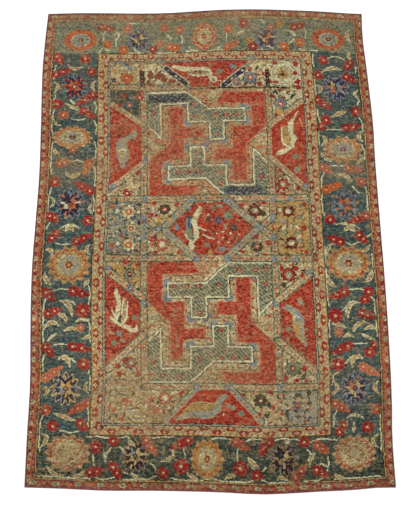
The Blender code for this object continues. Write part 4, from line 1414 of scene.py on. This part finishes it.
def follow_route(wrap, route, steps):
    """Lays the straight run of turns along the route, in plan."""
    travelled = np.concatenate([[0.0], np.cumsum(steps)])
    places = vertex_places(wrap)
    reach = np.clip(places[:, 0], 0.0, travelled[-1])
    over = places[:, 0] - reach
    centre = np.stack([np.interp(reach, travelled, route[:, axis]) for axis in (0, 1)], axis=-1)
    ahead = np.gradient(route, travelled, axis=0)
    ahead = np.stack([np.interp(reach, travelled, ahead[:, axis]) for axis in (0, 1)], axis=-1)
    ahead /= np.hypot(ahead[:, 0], ahead[:, 1])[:, None]
    side = np.stack([-ahead[:, 1], ahead[:, 0]], axis=-1)
    plan = centre + ahead * over[:, None] + side * places[:, 1:2]
    wrap.data.vertices.foreach_set("co", np.column_stack([plan, places[:, 2]]).ravel())
    wrap.data.update()


# Materials


def group_node(tree, group):
    node = tree.nodes.new("ShaderNodeGroup")
    node.node_tree = group
    return node


def wool_grain_group():
    """Fibre grain: a fine mask of light and dark fibres, and the height of their tips."""
    group = bpy.data.node_groups.new("wool_grain", "ShaderNodeTree")
    group.interface.new_socket("Place", in_out="INPUT", socket_type="NodeSocketVector")
    for name in ("Fibres", "Streaks"):
        group.interface.new_socket(name, in_out="INPUT", socket_type="NodeSocketFloat")
    for name in ("Tone", "Height"):
        group.interface.new_socket(name, in_out="OUTPUT", socket_type="NodeSocketFloat")
    nodes, links = group.nodes, group.links
    given, out = nodes.new("NodeGroupInput"), nodes.new("NodeGroupOutput")
    fibres = nodes.new("ShaderNodeTexNoise")
    fibres.inputs["Detail"].default_value = 4.0
    fibres.inputs["Roughness"].default_value = 0.7
    streaks = nodes.new("ShaderNodeTexNoise")
    streaks.inputs["Detail"].default_value = 2.0
    stretch = nodes.new("ShaderNodeVectorMath")
    stretch.operation = "MULTIPLY"
    stretch.inputs[1].default_value = (0.25, 1.0, 1.0)
    tone = nodes.new("ShaderNodeMix")
    tone.data_type = "FLOAT"
    tone.inputs["Factor"].default_value = 0.4
    links.new(given.outputs["Place"], fibres.inputs["Vector"])
    links.new(given.outputs["Fibres"], fibres.inputs["Scale"])
    links.new(given.outputs["Place"], stretch.inputs[0])
    links.new(stretch.outputs["Vector"], streaks.inputs["Vector"])
    links.new(given.outputs["Streaks"], streaks.inputs["Scale"])
    links.new(fibres.outputs["Fac"], tone.inputs["A"])
    links.new(streaks.outputs["Fac"], tone.inputs["B"])
    links.new(tone.outputs["Result"], out.inputs["Tone"])
    links.new(fibres.outputs["Fac"], out.inputs["Height"])
    return group


def knot_relief_group():
    """The tufts of the knots, in rows: a soft dome for each knot of the piece's own map."""
    group = bpy.data.node_groups.new("knot_relief", "ShaderNodeTree")
    for name in ("Map", "Count"):
        group.interface.new_socket(name, in_out="INPUT", socket_type="NodeSocketVector")
    group.interface.new_socket("Height", in_out="OUTPUT", socket_type="NodeSocketFloat")
    nodes, links = group.nodes, group.links
    given, out = nodes.new("NodeGroupInput"), nodes.new("NodeGroupOutput")
    scaled = nodes.new("ShaderNodeVectorMath")
    scaled.operation = "MULTIPLY"
    tufts = nodes.new("ShaderNodeTexVoronoi")
    tufts.voronoi_dimensions = "2D"
    tufts.inputs["Scale"].default_value = 1.0
    tufts.inputs["Randomness"].default_value = 0.35
    dome = nodes.new("ShaderNodeMath")
    dome.operation = "SUBTRACT"
    dome.inputs[0].default_value = 1.0
    links.new(given.outputs["Map"], scaled.inputs[0])
    links.new(given.outputs["Count"], scaled.inputs[1])
    links.new(scaled.outputs["Vector"], tufts.inputs["Vector"])
    links.new(tufts.outputs["Distance"], dome.inputs[1])
    links.new(dome.outputs["Value"], out.inputs["Height"])
    return group


WOOL_SHINE = 0.06
SHEEN_ROUGHNESS = 0.6
NOISE_LOW, NOISE_HIGH = 0.25, 0.75  # nearly all of a noise lies between these
ROUGHNESS_SPREAD = 0.06
FIBRE_SHARE = 0.35  # of the fibres' height against the knots'
BUMP_STRENGTH = 0.5
PILE_LIFT, BACK_LIFT = 0.0012, 0.0006  # height of the knots' bumps on the pile and on the back


def wool_material(name, grain, fibres, streaks, roughness, sheen, darkest, lightest):
    """Wool with its grain wired up: the material, its shader, its grain and the node that takes its dye."""
    material = bpy.data.materials.new(name)
    material.use_nodes = True
    nodes, links = material.node_tree.nodes, material.node_tree.links
    shader = nodes["Principled BSDF"]
    shader.inputs["Sheen Weight"].default_value = sheen
    shader.inputs["Sheen Roughness"].default_value = SHEEN_ROUGHNESS
    shader.inputs["Specular IOR Level"].default_value = WOOL_SHINE
    place = nodes.new("ShaderNodeTexCoord")
    fibre = group_node(material.node_tree, grain)
    fibre.inputs["Fibres"].default_value = fibres
    fibre.inputs["Streaks"].default_value = streaks
    links.new(place.outputs["Object"], fibre.inputs["Place"])
    # The tone mostly follows the same fibre noise as the bump's height: fibre grain, and also painted shade
    # on the low fibres
    shade = nodes.new("ShaderNodeMapRange")
    shade.inputs["From Min"].default_value = NOISE_LOW
    shade.inputs["From Max"].default_value = NOISE_HIGH
    shade.inputs["To Min"].default_value = darkest
    shade.inputs["To Max"].default_value = lightest
    links.new(fibre.outputs["Tone"], shade.inputs["Value"])
    rough = nodes.new("ShaderNodeMapRange")
    rough.inputs["To Min"].default_value = roughness - ROUGHNESS_SPREAD
    rough.inputs["To Max"].default_value = min(roughness + ROUGHNESS_SPREAD, 1.0)
    links.new(fibre.outputs["Height"], rough.inputs["Value"])
    links.new(rough.outputs["Result"], shader.inputs["Roughness"])
    dyed = nodes.new("ShaderNodeVectorMath")
    dyed.operation = "SCALE"
    links.new(shade.outputs["Result"], dyed.inputs["Scale"])
    links.new(dyed.outputs["Vector"], shader.inputs["Base Color"])
    return material, shader, fibre, dyed


def pile_material(name, grain, relief, count, lift):
    """Knotted pile in the colours of its chart."""
    material, shader, fibre, dyed = wool_material(
        name, grain, fibres=900.0, streaks=60.0, roughness=0.92, sheen=0.04, darkest=0.78, lightest=1.22
    )
    nodes, links = material.node_tree.nodes, material.node_tree.links
    chart_colour = nodes.new("ShaderNodeAttribute")
    chart_colour.attribute_name = KNOT_COLOUR
    links.new(chart_colour.outputs["Color"], dyed.inputs[0])
    own_map = nodes.new("ShaderNodeUVMap")
    own_map.uv_map = OWN_MAP
    knots = group_node(material.node_tree, relief)
    knots.inputs["Count"].default_value = (*count, 1.0)
    links.new(own_map.outputs["UV"], knots.inputs["Map"])
    heights = nodes.new("ShaderNodeMath")
    heights.operation = "MULTIPLY_ADD"
    heights.inputs[1].default_value = FIBRE_SHARE
    links.new(fibre.outputs["Height"], heights.inputs[0])
    links.new(knots.outputs["Height"], heights.inputs[2])
    bump = nodes.new("ShaderNodeBump")
    bump.inputs["Strength"].default_value = BUMP_STRENGTH
    bump.inputs["Distance"].default_value = lift
    links.new(heights.outputs["Value"], bump.inputs["Height"])
    links.new(bump.outputs["Normal"], shader.inputs["Normal"])
    return material


YARN_LIFT = 0.0004
EDGE_RED, EDGE_FADED = (84, 34, 30), (128, 62, 52)
END_DARK, END_FADED = (52, 34, 32), (92, 60, 54)


def overcast_material(name, grain, colour, fade):
    """Plied wool yarn, its fibres lighter and darker at random and with painted shade in its folds where
    the fibre bump dips, in one dyed colour that has faded in stretches.
    """
    material, shader, fibre, dyed = wool_material(
        name, grain, fibres=1400.0, streaks=9.0, roughness=0.85, sheen=0.15, darkest=0.7, lightest=1.25
    )
    nodes, links = material.node_tree.nodes, material.node_tree.links
    tint = nodes.new("ShaderNodeMix")
    tint.data_type = "RGBA"
    tint.inputs["A"].default_value = (*linear(colour), 1.0)
    tint.inputs["B"].default_value = (*linear(fade), 1.0)
    links.new(fibre.outputs["Tone"], tint.inputs["Factor"])
    links.new(tint.outputs["Result"], dyed.inputs[0])
    bump = nodes.new("ShaderNodeBump")
    bump.inputs["Strength"].default_value = BUMP_STRENGTH
    bump.inputs["Distance"].default_value = YARN_LIFT
    links.new(fibre.outputs["Height"], bump.inputs["Height"])
    links.new(bump.outputs["Normal"], shader.inputs["Normal"])
    return material


# The room: floor, lights and camera


def pale_floor():
    bpy.ops.object.select_all(action="DESELECT")
    bpy.ops.mesh.primitive_plane_add(size=30.0, location=(0, 0, 0))
    floor = bpy.context.object
    floor.name = "studio_floor"
    material = bpy.data.materials.new("floor_white")
    material.use_nodes = True
    shader = material.node_tree.nodes["Principled BSDF"]
    shader.inputs["Base Color"].default_value = FLOOR_WHITE
    shader.inputs["Roughness"].default_value = 0.9
    floor.data.materials.append(material)


FLOOR_WHITE = (0.94, 0.96, 0.975, 1.0)
SOFTBOX_SIZE = 3.0
AIR_STRENGTH = 0.64


def soft_light(name, place, watts):
    """A square softbox that points at the middle of the carpet."""
    lamp = bpy.data.lights.new(name, "AREA")
    lamp.shape = "SQUARE"
    lamp.size = SOFTBOX_SIZE
    lamp.energy = watts
    thing = bpy.data.objects.new(name, lamp)
    bpy.context.scene.collection.objects.link(thing)
    thing.location = place
    thing.rotation_euler = (-Vector(place)).to_track_quat("-Z", "Y").to_euler()


def studio():
    pale_floor()
    soft_light("softbox_left", (-3.2, -0.6, 4.2), 150.0)
    soft_light("softbox_right", (3.2, 0.6, 4.2), 130.0)
    world = bpy.data.worlds.new("studio_air")
    world.use_nodes = True
    air = world.node_tree.nodes["Background"]
    air.inputs["Color"].default_value = (1.0, 1.0, 1.0, 1.0)
    air.inputs["Strength"].default_value = AIR_STRENGTH
    bpy.context.scene.world = world
    bpy.context.scene.view_settings.view_transform = "Standard"


# The photograph's view: how far its lens leans from straight down, and its focal length in pixels
CAMERA_TILT = math.radians(16.7)
FOCAL_PIXELS = 900.0
PICTURE_HEIGHT = 512
CAMERA_DISTANCE = 5.40
CAMERA_TARGET = (-0.0265, -0.149, 0.0)


def camera():
    lens = bpy.data.cameras.new("camera")
    lens.sensor_width = 36.0
    lens.lens = FOCAL_PIXELS * lens.sensor_width / PICTURE_HEIGHT
    thing = bpy.data.objects.new("camera", lens)
    bpy.context.scene.collection.objects.link(thing)
    x, y, z = CAMERA_TARGET
    back, up = math.sin(CAMERA_TILT) * CAMERA_DISTANCE, math.cos(CAMERA_TILT) * CAMERA_DISTANCE
    thing.location = (x, y - back, z + up)
    thing.rotation_euler = (CAMERA_TILT, 0.0, 0.0)
    bpy.context.scene.camera = thing


BACK_DULLING = 0.2


def muted(colours):
    """The colours of the back: the same pattern, a little flatter and browner."""
    return colours * (1 - BACK_DULLING) + linear(BARE_WOOL) * BACK_DULLING


# Each bound edge: the side that it follows, the way out from the carpet, and whether it turns the corners
EDGES = {
    "overcast_side_cord_left": ("left", (-1.0, 0.0), True),
    "overcast_side_cord_right": ("right", (1.0, 0.0), True),
    "overcast_end_binding_near": ("near", (0.0, -1.0), False),
    "overcast_end_binding_far": ("far", (0.0, 1.0), False),
}


def bound_edges(ground, grain):
    edge_wool = overcast_material("overcast_side_wool", grain, EDGE_RED, EDGE_FADED)
    dark_wool = overcast_material("overcast_far_wool", grain, END_DARK, END_FADED)
    edges = []
    for name, (side, outward, at_corners) in EDGES.items():
        reach = BINDING_WIDTH + BINDING_GAP if at_corners else 0.0
        route = wrap_route(ground.sides[side], np.array(outward), reach)
        wool, slot = (dark_wool, "dark_end_wool") if side == "far" else (edge_wool, "overcast_wool")
        edges.append(overcast_edge(name, route, wool))
    return edges


def main():
    camera()
    studio()
    chart = draw_carpet()
    colours, wear = knot_colours(chart)
    ground = Ground(packed_outline())
    grain, relief = wool_grain_group(), knot_relief_group()
    pile_wool = pile_material("worn_wool_pile", grain, relief, (COLUMNS // STRIPS, ROWS), PILE_LIFT)
    back_wool = pile_material("woven_wool_back", grain, relief, (COLUMNS, ROWS), BACK_LIFT)
    strips = [pile_strip(number, ground, colours, wear, pile_wool) for number in range(STRIPS)]
    back = foundation(ground, muted(colours), back_wool)
    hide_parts("carpet")
    edges = bound_edges(ground, grain)


main()
